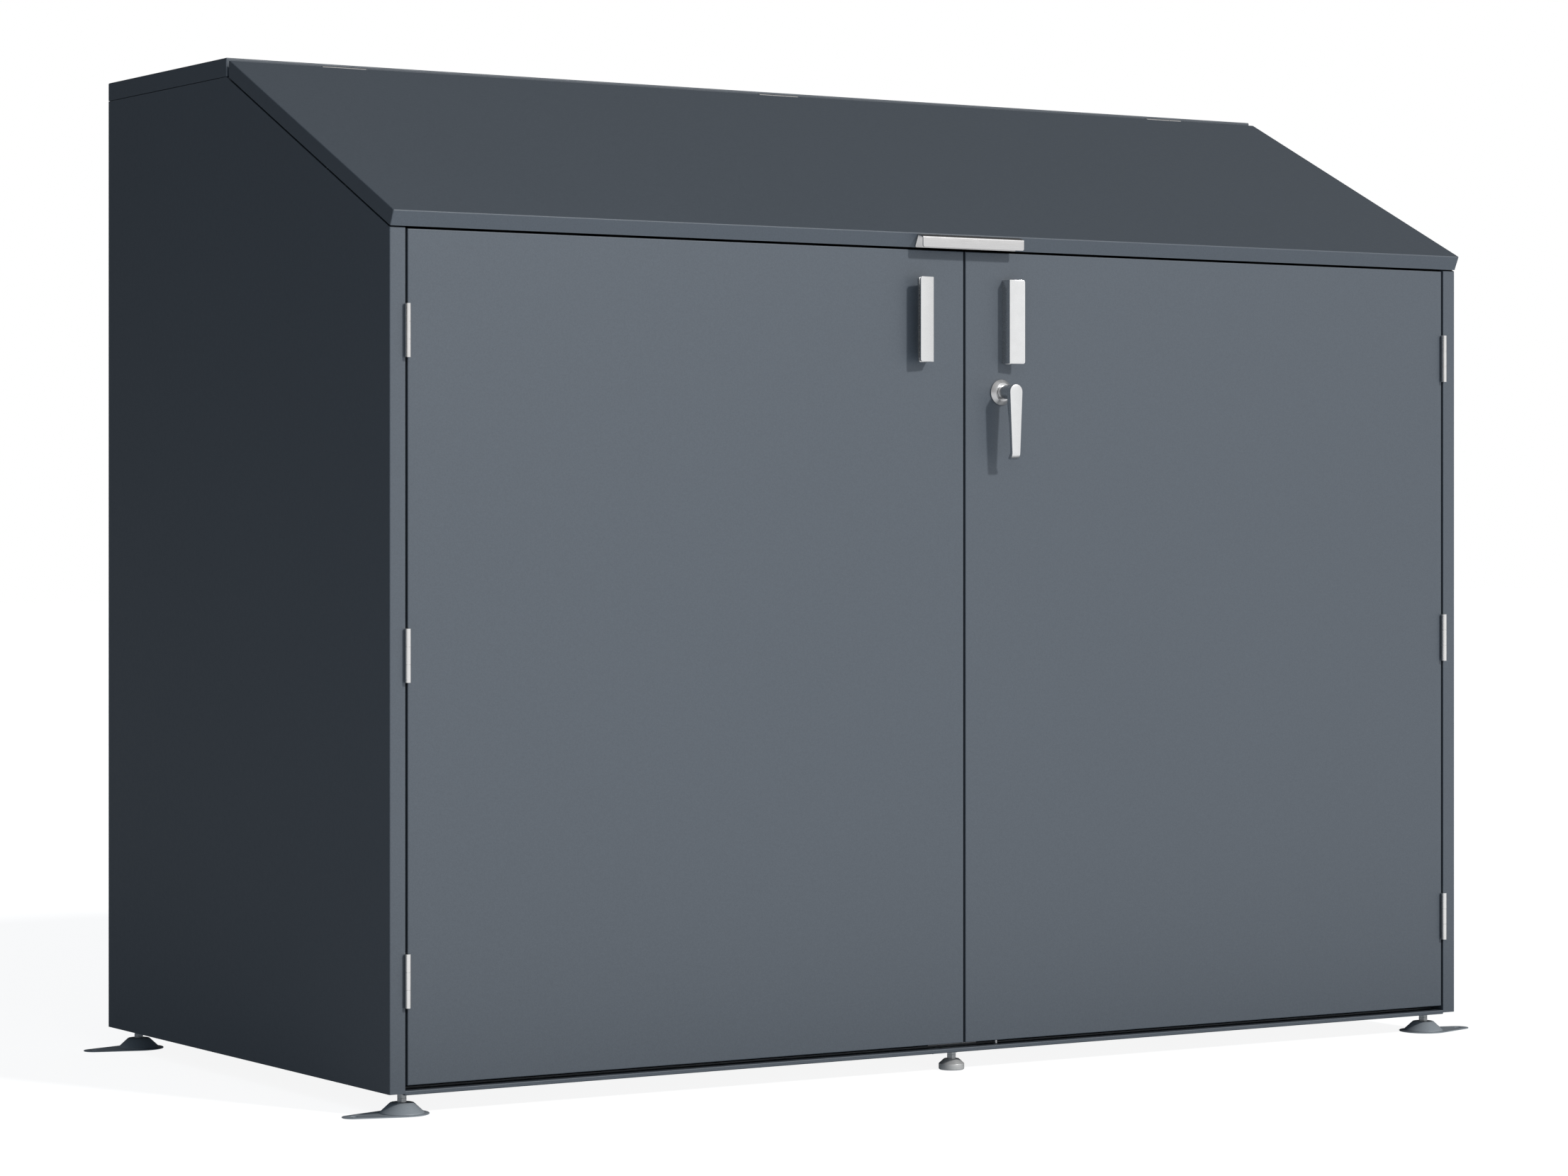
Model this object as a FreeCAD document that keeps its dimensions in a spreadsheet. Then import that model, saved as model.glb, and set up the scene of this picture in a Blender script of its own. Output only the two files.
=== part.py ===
"""Bicycle locker for two bicycles: sheet-steel casing, two doors, sloped lid.

Frame: millimetres, +X to the right seen from the front, the doors face -Y, +Z up.
The origin is on the ground, in the middle of the rectangle of four anchor holes.
"""
import FreeCAD, Part
import math
import os
import Sketcher

doc = FreeCAD.newDocument("bicycle_locker")

# Driving sizes in millimetres, angles in degrees
SIZES = (
    # Casing
    ("casing_width", 2000), ("casing_depth", 1005), ("ground_clearance", 33.5),
    ("front_height", 1243), ("rear_height", 1537), ("sheet", 2),
    ("stile_width", 25), ("stile_return", 28), ("bend_radius", 2),
    ("rear_fold", 25), ("seam", 1),
    # Roof cap and its rails
    ("cap_depth", 453), ("cap_skirt", 29), ("header_width", 30),
    # Lid
    ("lid_thickness", 24.2), ("lid_gap", 3), ("lid_rear_gap", 10.5), ("lid_overhang", 1.4),
    ("lid_stiffener_width", 60), ("lid_stiffener_depth", 15), ("lid_stiffener_spacing", 1000),
    # Doors
    ("door_gap", 4), ("centre_gap", 3.7), ("door_bottom", 11.7), ("door_top", 1242.4),
    ("door_depth", 22), ("door_sheet", 1.5), ("door_bend_radius", 1.4),
    ("door_stiffener_height", 70),
    ("door_stiffener_depth", 16), ("door_stiffener_spacing", 420), ("stiffener_setback", 110),
    # Base
    ("sill_top", 4.1), ("sill_nose_height", 6.5), ("sill_nose_depth", 9), ("sill_depth", 52),
    ("sill_round", 1.3), ("rail_sheet", 2), ("floor_sheet", 2), ("floor_setback", 30),
    ("bearer_width", 47), ("bearer_bottom", 23), ("bearer_setback", 54), ("rear_rail_depth", 58.5),
    ("channel_width", 64), ("channel_height", 40), ("channel_length", 1880),
    ("channel_spacing", 440), ("channel_mouth", 12),
    # Door hinges
    ("hinge_length", 77.5), ("hinge_radius", 4.5), ("hinge_pin_radius", 2.5),
    ("hinge_leaf", 1.4), ("hinge_leaf_depth", 22), ("hinge_leaf_setback", 0.5),
    ("hinge_web_depth", 11), ("hinge_first", 162), ("hinge_spacing", 467),
    ("knuckle_gap", 0.3), ("running_gap", 0.05),
    # Lid hinges
    ("lid_hinge_length", 75.6), ("lid_hinge_radius", 4.5), ("lid_hinge_pin_radius", 2.5),
    ("lid_hinge_spacing", 802), ("lid_hinge_drop", 8.4), ("lid_leaf_depth", 22),
    ("lid_knuckle_grip", 1.5), ("lid_notch_depth", 4.2), ("lid_notch_gap", 2),
    ("lid_notch_drop", 1),
    # Door pulls
    ("pull_length", 131), ("pull_above_lock", 109.9), ("pull_offset", 71.8), ("pull_reach", 20.3),
    ("pull_face", 26.4), ("pull_flare", 4.1), ("pull_flange", 15.3), ("pull_wall", 2.4),
    ("pull_corner", 3.5),
    # Lid pull
    ("lid_pull_length", 190), ("lid_pull_back", 23.2), ("lid_pull_web", 12.5),
    ("lid_pull_drop", 4.5), ("lid_pull_face", 16.6), ("lid_pull_wall", 2),
    # Screws of the pulls
    ("screw_head_radius", 3.6), ("screw_head_height", 1.6), ("screw_radius", 2),
    ("screw_length", 9), ("screw_inset", 22), ("screw_gap", 0.2),
    # Lock: lever, rosette, case, cam and rods
    ("lock_offset", 69), ("lock_drop", 217.9), ("rosette_radius", 20.2),
    ("rosette_height", 7), ("rosette_rim", 2), ("rosette_face_radius", 14),
    ("neck_radius", 11), ("lever_reach", 42), ("lever_head_radius", 11.5),
    ("lever_tip_radius", 7), ("lever_length", 105.5), ("lever_thickness", 9),
    ("lever_shoulder", 21), ("lever_waist", 5.8), ("lever_waist_drop", 55), ("lever_toe", 12),
    ("lever_toe_edge", 2.5), ("lever_toe_rise", 11.5), ("lever_bend_radius", 10.5),
    ("spindle_radius", 6), ("lock_case_width", 44),
    ("lock_case_height", 84), ("lock_case_depth", 6), ("cam_radius", 15),
    ("cam_thickness", 3), ("cam_gap", 0.5), ("cam_pin_circle", 10), ("cam_pin_radius", 2.5),
    ("slot_gap", 0.6), ("slot_wall", 5), ("rod_shoulder", 8),
    ("rod_radius", 2.4), ("rod_setback", 14), ("rod_flat", 3), ("rod_throw", 14),
    ("rod_hole_gap", 1.2), ("rod_top_inset", 2), ("rod_tip_gap", 1.3),
    ("guide_width", 24), ("guide_height", 12), ("guide_depth", 17), ("guide_setback", 90),
    ("guide_edge", 30),
    # Shoot bolts of the left door
    ("bolt_offset", 40), ("bolt_radius", 4), ("bolt_tail", 25), ("bolt_knob_radius", 6),
    ("bolt_knob_length", 16), ("bolt_knob_gap", 1), ("bolt_tip_inset", 2),
    # Keepers in the lid
    ("keeper_width", 44), ("keeper_plate", 2), ("keeper_depth", 30), ("keeper_rise", 14),
    ("keeper_gap", 5), ("keeper_hole_gap", 1.8),
    # Gas struts
    ("strut_offset", 955), ("strut_wall_back", 120), ("strut_wall_drop", 110),
    ("strut_lid_along", 85), ("strut_lid_below", 45), ("strut_tube_radius", 7.5),
    ("strut_tube_wall", 1.5), ("strut_rod_radius", 3),
    ("strut_eye_radius", 7), ("strut_eye_width", 8), ("strut_stud_radius", 4),
    ("strut_neck_radius", 3.6), ("strut_neck_length", 7), ("strut_cap", 6), ("strut_piston", 6),
    ("strut_end_room", 4), ("strut_lid_foot", 16), ("strut_pin_gap", 0.5),
    ("strut_bracket", 3), ("strut_bracket_width", 30),
    ("lid_opening", 65),
    # Corner feet
    ("foot_inset", 38), ("foot_setback", 36), ("plate_radius", 40), ("plate_tip_radius", 18),
    ("plate_reach", 76.5), ("plate_thickness", 1.5), ("anchor_hole_radius", 5.5),
    ("dome_top_radius", 17), ("dome_base_radius", 32.5), ("dome_height", 15.5),
    ("dome_rim", 1.2), ("dome_round", 3),
    # Levelling screws, nuts and centre feet
    ("stem_radius", 4), ("nut_flats", 13), ("nut_height", 6.5), ("stem_top_gap", 0.5),
    ("mounting_plate", 3), ("mounting_plate_size", 42), ("disc_radius", 20),
    ("disc_top_radius", 11.8), ("disc_shoulder", 9.5), ("disc_round", 2), ("socket_gap", 0.3),
    # Door stop in the middle of the sill
    ("stop_width", 90), ("stop_height", 30), ("stop_foot", 24), ("buffer_radius", 7),
    ("buffer_length", 12), ("buffer_gap", 0.4), ("buffer_spacing", 50),
)

sheet = doc.addObject("Spreadsheet::Sheet", "Sizes")
for row, (alias, number) in enumerate(SIZES, start=1):
    sheet.set("A%d" % row, alias)
    sheet.set("B%d" % row, str(number))
    sheet.setAlias("B%d" % row, alias)
doc.recompute()


class Size:
    """A length that knows its number and the formula that gives it from the sheet."""

    def __init__(self, value, formula):
        self.value = float(value)
        self.formula = formula

    @staticmethod
    def of(item):
        """Turn a plain number into a Size, and leave a Size as it is."""
        return item if isinstance(item, Size) else Size(item, repr(float(item)))

    def __add__(self, other):
        other = Size.of(other)
        return Size(self.value + other.value, "(%s + %s)" % (self.formula, other.formula))

    def __radd__(self, other):
        return Size.of(other) + self

    def __sub__(self, other):
        other = Size.of(other)
        return Size(self.value - other.value, "(%s - %s)" % (self.formula, other.formula))

    def __rsub__(self, other):
        return Size.of(other) - self

    def __mul__(self, other):
        other = Size.of(other)
        return Size(self.value * other.value, "(%s * %s)" % (self.formula, other.formula))

    __rmul__ = __mul__

    def __truediv__(self, other):
        other = Size.of(other)
        return Size(self.value / other.value, "(%s / %s)" % (self.formula, other.formula))

    def __rtruediv__(self, other):
        return Size.of(other) / self

    def __neg__(self):
        return Size(-self.value, "(0 - %s)" % self.formula)


class Named:
    """Reads a cell of the sheet by its alias, as an attribute."""

    def __getattr__(self, alias):
        return Size(sheet.get(alias), "Sizes." + alias)


def root(item):
    """Square root of a Size."""
    return Size(math.sqrt(item.value), "sqrt(%s)" % item.formula)


def cosine(angle):
    """Cosine of a Size in degrees."""
    return Size(math.cos(math.radians(angle.value)), "cos(%s * 1 deg)" % angle.formula)


def sine(angle):
    """Sine of a Size in degrees."""
    return Size(math.sin(math.radians(angle.value)), "sin(%s * 1 deg)" % angle.formula)


def ordered(first, second):
    """Two places in rising order."""
    return (first, second) if first.value <= second.value else (second, first)


s = Named()
nodes = []

KNUCKLES = 3  # On every hinge: two on the fixed leaf, one on the moving leaf
OVERRUN = 1  # How far a cut runs past the face that it opens

# Places that several pieces share
half = s.casing_width / 2
front = -s.casing_depth / 2
rear = s.casing_depth / 2
base = s.ground_clearance + 0
roof = base + s.rear_height
side_front_top = base + s.front_height
side_rear_top = roof - s.cap_skirt - s.seam
cap_front = rear - s.cap_depth
slope = (side_rear_top - side_front_top) / (cap_front - front)
slope_cos = 1 / root(1 + slope * slope)
slope_sin = slope * slope_cos
stile_inner = half - s.stile_width
door_low = base + s.door_bottom
door_high = base + s.door_top
door_back = front + s.door_depth
sill_high = base + s.sill_top
lid_rear = cap_front - s.lid_rear_gap
lid_axis_y = cap_front - s.lid_rear_gap / 2
lid_axis_z = roof - s.lid_hinge_drop
lid_hinge_places = [s.lid_hinge_spacing * turn for turn in (-1, 0, 1)]
rod_y = front + s.rod_setback
lock_z = door_high - s.lock_drop
pull_z = lock_z + s.pull_above_lock

# Directions of the planes: (role of the plane, world axis of its normal, sign of the normal)
PLANES = {"XY": ("XY_Plane", 1), "XZ": ("XZ_Plane", -1), "YZ": ("YZ_Plane", 1)}


def keep(label, item):
    """Give a finished sub-part the label that names its file."""
    item.Label = label
    nodes.append(item)
    return item


def bind(item, path, formula_size):
    """Bind one property of an object to a formula on the sheet."""
    item.setExpression(path, formula_size.formula)


def attach(body, sketch, plane, offset):
    """Lay a sketch on one of its body's origin planes, moved along the normal."""
    role = PLANES[plane][0]
    support = [f for f in body.Origin.OriginFeatures if f.Role == role][0]
    sketch.AttachmentSupport = [(support, "")]
    sketch.MapMode = "FlatFace"
    sketch.AttachmentOffset = FreeCAD.Placement(
        FreeCAD.Vector(0, 0, offset.value), FreeCAD.Rotation())
    bind(sketch, "AttachmentOffset.Base.z", offset)


def place_point(sketch, edge, end, x, y):
    """Tie one end or centre of a sketch edge to its two coordinates."""
    number = sketch.addConstraint(Sketcher.Constraint("DistanceX", edge, end, x.value))
    bind(sketch, "Constraints[%d]" % number, x)
    number = sketch.addConstraint(Sketcher.Constraint("DistanceY", edge, end, y.value))
    bind(sketch, "Constraints[%d]" % number, y)


def vector(x, y):
    """A point of a sketch."""
    return FreeCAD.Vector(x.value, y.value, 0)


def draw_polygon(sketch, corners):
    """Draw a closed outline with straight sides."""
    corners = [(Size.of(x), Size.of(y)) for x, y in corners]
    first = sketch.GeometryCount
    count = len(corners)
    for index in range(count):
        here = corners[index]
        there = corners[(index + 1) % count]
        sketch.addGeometry(Part.LineSegment(vector(*here), vector(*there)), False)
    for index in range(count):
        after = first + (index + 1) % count
        sketch.addConstraint(Sketcher.Constraint("Coincident", first + index, 2, after, 1))
    for index, (x, y) in enumerate(corners):
        place_point(sketch, first + index, 1, x, y)


def draw_circle(sketch, x, y, radius):
    """Draw a circle tied to its centre and radius."""
    x, y, radius = Size.of(x), Size.of(y), Size.of(radius)
    edge = sketch.addGeometry(
        Part.Circle(vector(x, y), FreeCAD.Vector(0, 0, 1), radius.value), False)
    place_point(sketch, edge, 3, x, y)
    number = sketch.addConstraint(Sketcher.Constraint("Radius", edge, radius.value))
    bind(sketch, "Constraints[%d]" % number, radius)


def draw_belt(sketch, start, start_radius, end, end_radius):
    """Draw the outline round two circles: two arcs joined by tangent lines."""
    start = tuple(Size.of(item) for item in start)
    end = tuple(Size.of(item) for item in end)
    start_radius, end_radius = Size.of(start_radius), Size.of(end_radius)
    p, q = vector(*start), vector(*end)
    along = q - p
    heading = math.atan2(along.y, along.x)
    opening = math.acos((start_radius.value - end_radius.value) / along.Length)
    normal = FreeCAD.Vector(0, 0, 1)

    def on(centre, radius, angle):
        return centre + FreeCAD.Vector(math.cos(angle), math.sin(angle), 0) * radius.value

    left, right = heading + opening, heading - opening
    big = sketch.addGeometry(Part.ArcOfCircle(
        Part.Circle(p, normal, start_radius.value), left, right + 2 * math.pi), False)
    low = sketch.addGeometry(Part.LineSegment(
        on(p, start_radius, right), on(q, end_radius, right)), False)
    small = sketch.addGeometry(Part.ArcOfCircle(
        Part.Circle(q, normal, end_radius.value), right, left), False)
    high = sketch.addGeometry(Part.LineSegment(
        on(q, end_radius, left), on(p, start_radius, left)), False)
    sketch.addConstraint(Sketcher.Constraint("Tangent", big, 2, low, 1))
    sketch.addConstraint(Sketcher.Constraint("Tangent", low, 2, small, 1))
    sketch.addConstraint(Sketcher.Constraint("Tangent", small, 2, high, 1))
    sketch.addConstraint(Sketcher.Constraint("Tangent", high, 2, big, 1))
    for edge, centre, radius in ((big, start, start_radius), (small, end, end_radius)):
        place_point(sketch, edge, 3, *centre)
        number = sketch.addConstraint(Sketcher.Constraint("Radius", edge, radius.value))
        bind(sketch, "Constraints[%d]" % number, radius)


DRAW = {"polygon": draw_polygon, "circle": draw_circle, "belt": draw_belt}


def rectangle(x0, y0, x1, y1):
    """The outline of an upright rectangle."""
    return ("polygon", [(x0, y0), (x1, y0), (x1, y1), (x0, y1)])


def new_sketch(body, plane, shapes, offset):
    """Make a sketch of one or more outlines in a body."""
    sketch = body.newObject("Sketcher::SketchObject", "Outline")
    attach(body, sketch, plane, offset)
    for kind, *values in shapes:
        DRAW[kind](sketch, *values)
    return sketch


def new_body():
    """Start an empty body."""
    return doc.addObject("PartDesign::Body", "Piece")


def pad(body, plane, shapes, low, high):
    """Add material between two places along the plane's world axis."""
    low, high = ordered(Size.of(low), Size.of(high))
    offset = low if PLANES[plane][1] > 0 else -high
    feature = body.newObject("PartDesign::Pad", "Pad")
    feature.Profile = new_sketch(body, plane, shapes, offset)
    feature.Length = high.value - low.value
    bind(feature, "Length", high - low)
    doc.recompute()
    return feature


def pocket(body, plane, shapes, low, high):
    """Take material away between two places along the plane's world axis."""
    low, high = ordered(Size.of(low), Size.of(high))
    offset = high if PLANES[plane][1] > 0 else -low
    before = body.Shape.Volume
    feature = body.newObject("PartDesign::Pocket", "Pocket")
    feature.Profile = new_sketch(body, plane, shapes, offset)
    feature.Length = high.value - low.value
    bind(feature, "Length", high - low)
    doc.recompute()
    if not body.Shape.Volume < before:
        raise ValueError("a pocket cuts nothing in " + body.Label)
    return feature


def round_edges(body, radius, chosen):
    """Round the straight edges of a body whose middle and direction pass a test."""
    names = []
    for index, edge in enumerate(body.Shape.Edges, start=1):
        if edge.Curve.TypeId != "Part::GeomLine":
            continue
        middle = edge.valueAt((edge.FirstParameter + edge.LastParameter) / 2)
        if chosen(middle, edge.tangentAt(edge.FirstParameter), edge.Length):
            names.append("Edge%d" % index)
    return fillet(body, radius, names)


def fillet(body, radius, names):
    """Round the named edges of a body."""
    if not names:
        raise ValueError("no edge to round in " + body.Label)
    solid = body.Tip
    feature = body.newObject("PartDesign::Fillet", "Fillet")
    feature.Base = (solid, names)
    feature.Radius = radius.value
    bind(feature, "Radius", radius)
    doc.recompute()
    if not feature.isValid():
        raise ValueError("the rounding fails in " + body.Label)
    return feature


def round_rings(body, radius, ring_radius, height):
    """Round the level circular edges of a body that have a radius and a height."""
    names = []
    for index, edge in enumerate(body.Shape.Edges, start=1):
        if edge.Curve.TypeId != "Part::GeomCircle":
            continue
        if near(edge.Curve.Radius, ring_radius) and near(edge.Curve.Center.z, height):
            names.append("Edge%d" % index)
    return fillet(body, radius, names)


def near(number, place):
    """Whether a coordinate lies at a place."""
    return abs(number - Size.of(place).value) < 0.01


def block(x0, x1, y0, y1, z0, z1):
    """A rectangular block between two places on each axis."""
    item = doc.addObject("Part::Box", "Block")
    spans = [ordered(Size.of(a), Size.of(b)) for a, b in ((x0, x1), (y0, y1), (z0, z1))]
    for path, (low, high) in zip(("Length", "Width", "Height"), spans):
        setattr(item, path, high.value - low.value)
        bind(item, path, high - low)
    for path, (low, high) in zip("xyz", spans):
        bind(item, "Placement.Base." + path, low)
    return item


TURNS = {
    "x": FreeCAD.Rotation(FreeCAD.Vector(0, 1, 0), 90),
    "y": FreeCAD.Rotation(FreeCAD.Vector(1, 0, 0), -90),
    "z": FreeCAD.Rotation(),
}


def rod(axis, low, high, x, y, radius):
    """A round bar along a world axis. x and y are its other two places in X, Y, Z order."""
    low, high = ordered(Size.of(low), Size.of(high))
    radius = Size.of(radius)
    item = doc.addObject("Part::Cylinder", "Bar")
    item.Radius = radius.value
    item.Height = high.value - low.value
    bind(item, "Radius", radius)
    bind(item, "Height", high - low)
    item.Placement = FreeCAD.Placement(FreeCAD.Vector(), TURNS[axis])
    others = [letter for letter in "xyz" if letter != axis]
    bind(item, "Placement.Base." + axis, low)
    bind(item, "Placement.Base." + others[0], Size.of(x))
    bind(item, "Placement.Base." + others[1], Size.of(y))
    return item


def cut(item, *tools):
    """Cut tools out of an object."""
    result = doc.addObject("Part::Cut", "Cut")
    result.Base = item
    result.Tool = tools[0] if len(tools) == 1 else fuse(*tools)
    return result


def fuse(*items):
    """Join objects into one solid."""
    result = doc.addObject("Part::MultiFuse", "Joined")
    result.Shapes = list(items)
    result.Refine = True
    return result


def common(first, second):
    """What two objects have in common."""
    result = doc.addObject("Part::Common", "Shared")
    result.Base = first
    result.Tool = second
    return result


def group(label, items):
    """Keep alike pieces together as one node of separate solids."""
    result = doc.addObject("Part::Compound", "Group")
    result.Links = list(items)
    return keep(label, result)


def slope_line(y, clearance):
    """Height at a depth y of a line along the slope, square off the sides by a clearance."""
    return side_front_top + slope * (y - front) + clearance / slope_cos


# Casing

def side_panel(label, side):
    """A folded side with its front stile, rear, bottom and top flanges."""
    body = new_body()
    outer, inner = half * side, stile_inner * side
    t = s.sheet
    outline = [(front, base), (rear, base), (rear, side_rear_top),
               (cap_front, side_rear_top), (front, side_front_top)]
    pad(body, "YZ", [("polygon", outline)], outer, inner)
    knee = cap_front + (t / slope_cos - t) / slope
    hollow = [(front + t, base + t), (rear - t, base + t), (rear - t, side_rear_top - t),
              (knee, side_rear_top - t), (front + t, slope_line(front + t, -t))]
    pocket(body, "YZ", [("polygon", hollow)], (half - t) * side, inner)
    pad(body, "XY", [rectangle(inner, front + t, inner + t * side, front + s.stile_return)],
        base, side_front_top)
    round_edges(body, s.bend_radius, lambda p, d, length: near(abs(d.z), 1) and (
        near(p.x, outer) and (near(p.y, front) or near(p.y, rear))))
    keep(label, body)


side_panel("left_side_panel", -1)
side_panel("right_side_panel", 1)

rear_panel = new_body()
pad(rear_panel, "XZ", [rectangle(-stile_inner, base, stile_inner, side_rear_top)],
    rear - s.rear_fold, rear)
pocket(rear_panel, "XZ",
       [rectangle(-stile_inner + s.sheet, base + s.sheet, stile_inner - s.sheet,
                  side_rear_top - s.sheet)],
       rear - s.rear_fold, rear - s.sheet)
keep("rear_panel", rear_panel)

roof_cap = new_body()
pad(roof_cap, "XY", [rectangle(-half, cap_front, half, rear)], roof - s.cap_skirt, roof)
pocket(roof_cap, "XY",
       [rectangle(-half + s.sheet, cap_front + s.sheet, half - s.sheet, rear - s.sheet)],
       roof - s.cap_skirt, roof - s.sheet)
round_edges(roof_cap, s.bend_radius, lambda p, d, length: (
    (near(abs(p.x), half) or near(p.y, rear) or near(p.y, cap_front))
    and (near(p.z, roof) or near(abs(d.z), 1))))
keep("roof_cap", roof_cap)


def header_rail(label, near_edge, far_edge):
    """A folded rail on the side panels, under the edge of the roof cap."""
    body = new_body()
    low, high, t = side_rear_top, roof - s.sheet, s.rail_sheet
    ends = half - s.sheet
    pad(body, "YZ", [rectangle(near_edge, low, far_edge, high)], -ends, ends)
    pocket(body, "YZ", [rectangle(near_edge + t, low + t, far_edge + t, high - t)],
           -ends, ends)
    keep(label, body)


header_rail("front_header_rail", cap_front + s.sheet, cap_front + s.sheet + s.header_width)
header_rail("rear_header_rail", rear - s.sheet - s.header_width, rear - s.sheet)

# Floor and base

sill = new_body()
plate_low = sill_high - s.rail_sheet
pad(sill, "YZ", [("polygon", [
    (front, sill_high - s.sill_nose_height), (front + s.sill_nose_depth,
                                              sill_high - s.sill_nose_height),
    (front + s.sill_nose_depth, plate_low), (front + s.sill_depth, plate_low),
    (front + s.sill_depth, sill_high), (front, sill_high)])], -stile_inner, stile_inner)
round_edges(sill, s.sill_round, lambda p, d, length: near(p.y, front) and near(abs(d.x), 1))
foot_x = half - s.foot_inset
front_foot_y = front + s.foot_setback
rear_foot_y = rear - s.foot_setback
foot_places = [(x, y) for y in (front_foot_y, rear_foot_y) for x in (-foot_x, Size.of(0), foot_x)]
stem_hole = s.stem_radius + s.rod_hole_gap
pocket(sill, "XY", [("circle", x, front_foot_y, stem_hole) for x in (-foot_x, 0, foot_x)],
       plate_low, sill_high)
pocket(sill, "XY", [("circle", s.lock_offset, rod_y, s.rod_radius + s.rod_hole_gap),
                    ("circle", -s.bolt_offset, rod_y, s.bolt_radius + s.rod_hole_gap)],
       plate_low, sill_high)
keep("front_sill_rail", sill)

rear_rail = new_body()
rail_front = rear - s.rear_rail_depth
rail_back = rear - s.rear_fold
pad(rear_rail, "YZ", [("polygon", [
    (rail_front, sill_high - s.sill_nose_height), (rail_front + s.rail_sheet,
                                                   sill_high - s.sill_nose_height),
    (rail_front + s.rail_sheet, plate_low), (rail_back, plate_low),
    (rail_back, sill_high), (rail_front, sill_high)])], -stile_inner, stile_inner)
pocket(rear_rail, "XY", [("circle", x, rear_foot_y, stem_hole) for x in (-foot_x, 0, foot_x)],
       plate_low, sill_high)
keep("rear_base_rail", rear_rail)

floor_top = sill_high + s.floor_sheet
floor = new_body()
floor_edge = half - s.sheet
pad(floor, "XY", [rectangle(-floor_edge, front + s.floor_setback, floor_edge,
                            rear - s.rear_fold)], sill_high, floor_top)
keep("floor_tray", floor)

bearer = new_body()
bearer_half = s.bearer_width / 2
bearer_inner = bearer_half - s.rail_sheet
pad(bearer, "XZ", [("polygon", [
    (-bearer_half, s.bearer_bottom), (-bearer_inner, s.bearer_bottom),
    (-bearer_inner, plate_low), (bearer_inner, plate_low),
    (bearer_inner, s.bearer_bottom), (bearer_half, s.bearer_bottom),
    (bearer_half, sill_high), (-bearer_half, sill_high)])],
    front + s.bearer_setback, rail_front)
keep("centre_bearer", bearer)


def wheel_channel(label, middle):
    """A folded channel on the floor that holds one bicycle's wheels upright."""
    body = new_body()
    w, t = s.channel_width / 2, s.rail_sheet
    high = floor_top + s.channel_height
    lip = w + s.channel_mouth
    pad(body, "YZ", [("polygon", [
        (middle - w, floor_top), (middle + w, floor_top), (middle + lip, high),
        (middle + lip - t, high), (middle + w - t, floor_top + t),
        (middle - w + t, floor_top + t), (middle - lip + t, high),
        (middle - lip, high)])], -s.channel_length / 2, s.channel_length / 2)
    keep(label, body)


wheel_channel("front_wheel_channel", -s.channel_spacing / 2)
wheel_channel("rear_wheel_channel", s.channel_spacing / 2)

# Door stop: an angle in the middle behind the doors, with two rubber buffers
stop_front = door_back + s.buffer_gap + s.buffer_length
stop = new_body()
pad(stop, "YZ", [("polygon", [
    (stop_front, floor_top), (stop_front + s.stop_foot, floor_top),
    (stop_front + s.stop_foot, floor_top + s.rail_sheet),
    (stop_front + s.rail_sheet, floor_top + s.rail_sheet),
    (stop_front + s.rail_sheet, floor_top + s.stop_height),
    (stop_front, floor_top + s.stop_height)])],
    -s.stop_width / 2, s.stop_width / 2)
keep("door_stop_angle", stop)
buffer_z = floor_top + s.stop_height / 2
group("door_buffers", [
    rod("y", door_back + s.buffer_gap, stop_front, s.buffer_spacing / 2 * side, buffer_z,
        s.buffer_radius) for side in (-1, 1)])

# Feet

foot_low = s.plate_thickness + s.dome_height
mounting_low = plate_low - s.mounting_plate
pieces, stems, nuts = [], [], []
for x, y in foot_places:
    size = s.mounting_plate_size / 2
    block_x = (x - size, x + size)
    if x.value < 0:
        block_x = (-stile_inner + s.socket_gap, x + size)
    if x.value > 0:
        block_x = (x - size, stile_inner - s.socket_gap)
    if y.value < 0:
        block_y = (front + s.sill_nose_depth, front + s.sill_depth)
    else:
        block_y = (rail_front + s.rail_sheet, rail_back)
    plate = block(*block_x, *block_y, mounting_low, plate_low)
    pieces.append(cut(plate, rod("z", mounting_low, plate_low, x, y, s.stem_radius)))
    bottom = foot_low - s.dome_height / 2 if x.value else s.disc_shoulder / 2
    stems.append(rod("z", bottom, sill_high - s.stem_top_gap, x, y, s.stem_radius))
    for turn in (0, 1):
        low = foot_low + s.nut_height * turn
        nut = doc.addObject("Part::Prism", "Nut")
        nut.Polygon = 6
        nut.Circumradius = s.nut_flats.value / math.sqrt(3)
        bind(nut, "Circumradius", s.nut_flats / math.sqrt(3))
        bind(nut, "Height", s.nut_height)
        for path, place in zip("xyz", (x, y, low)):
            bind(nut, "Placement.Base." + path, Size.of(place))
        nuts.append(cut(nut, rod("z", low, low + s.nut_height, x, y, s.stem_radius)))
group("foot_mounting_plates", pieces)
group("levelling_stems", stems)
group("levelling_nuts", nuts)

discs = []
for y in (front_foot_y, rear_foot_y):
    disc = new_body()
    profile = [(0, 0), (s.disc_radius, 0), (s.disc_radius, s.disc_shoulder),
               (s.disc_top_radius, foot_low), (0, foot_low)]
    sketch = new_sketch(disc, "XZ", [("polygon", profile)], -y)
    turned = disc.newObject("PartDesign::Revolution", "Turned")
    turned.Profile = sketch
    turned.ReferenceAxis = (sketch, ["V_Axis"])
    turned.Angle = 360
    doc.recompute()
    pocket(disc, "XY", [("circle", 0, y, s.stem_radius)], s.disc_shoulder / 2, foot_low)
    round_rings(disc, s.disc_round, s.disc_radius, 0)
    discs.append(disc)
group("centre_foot_discs", discs)


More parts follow.
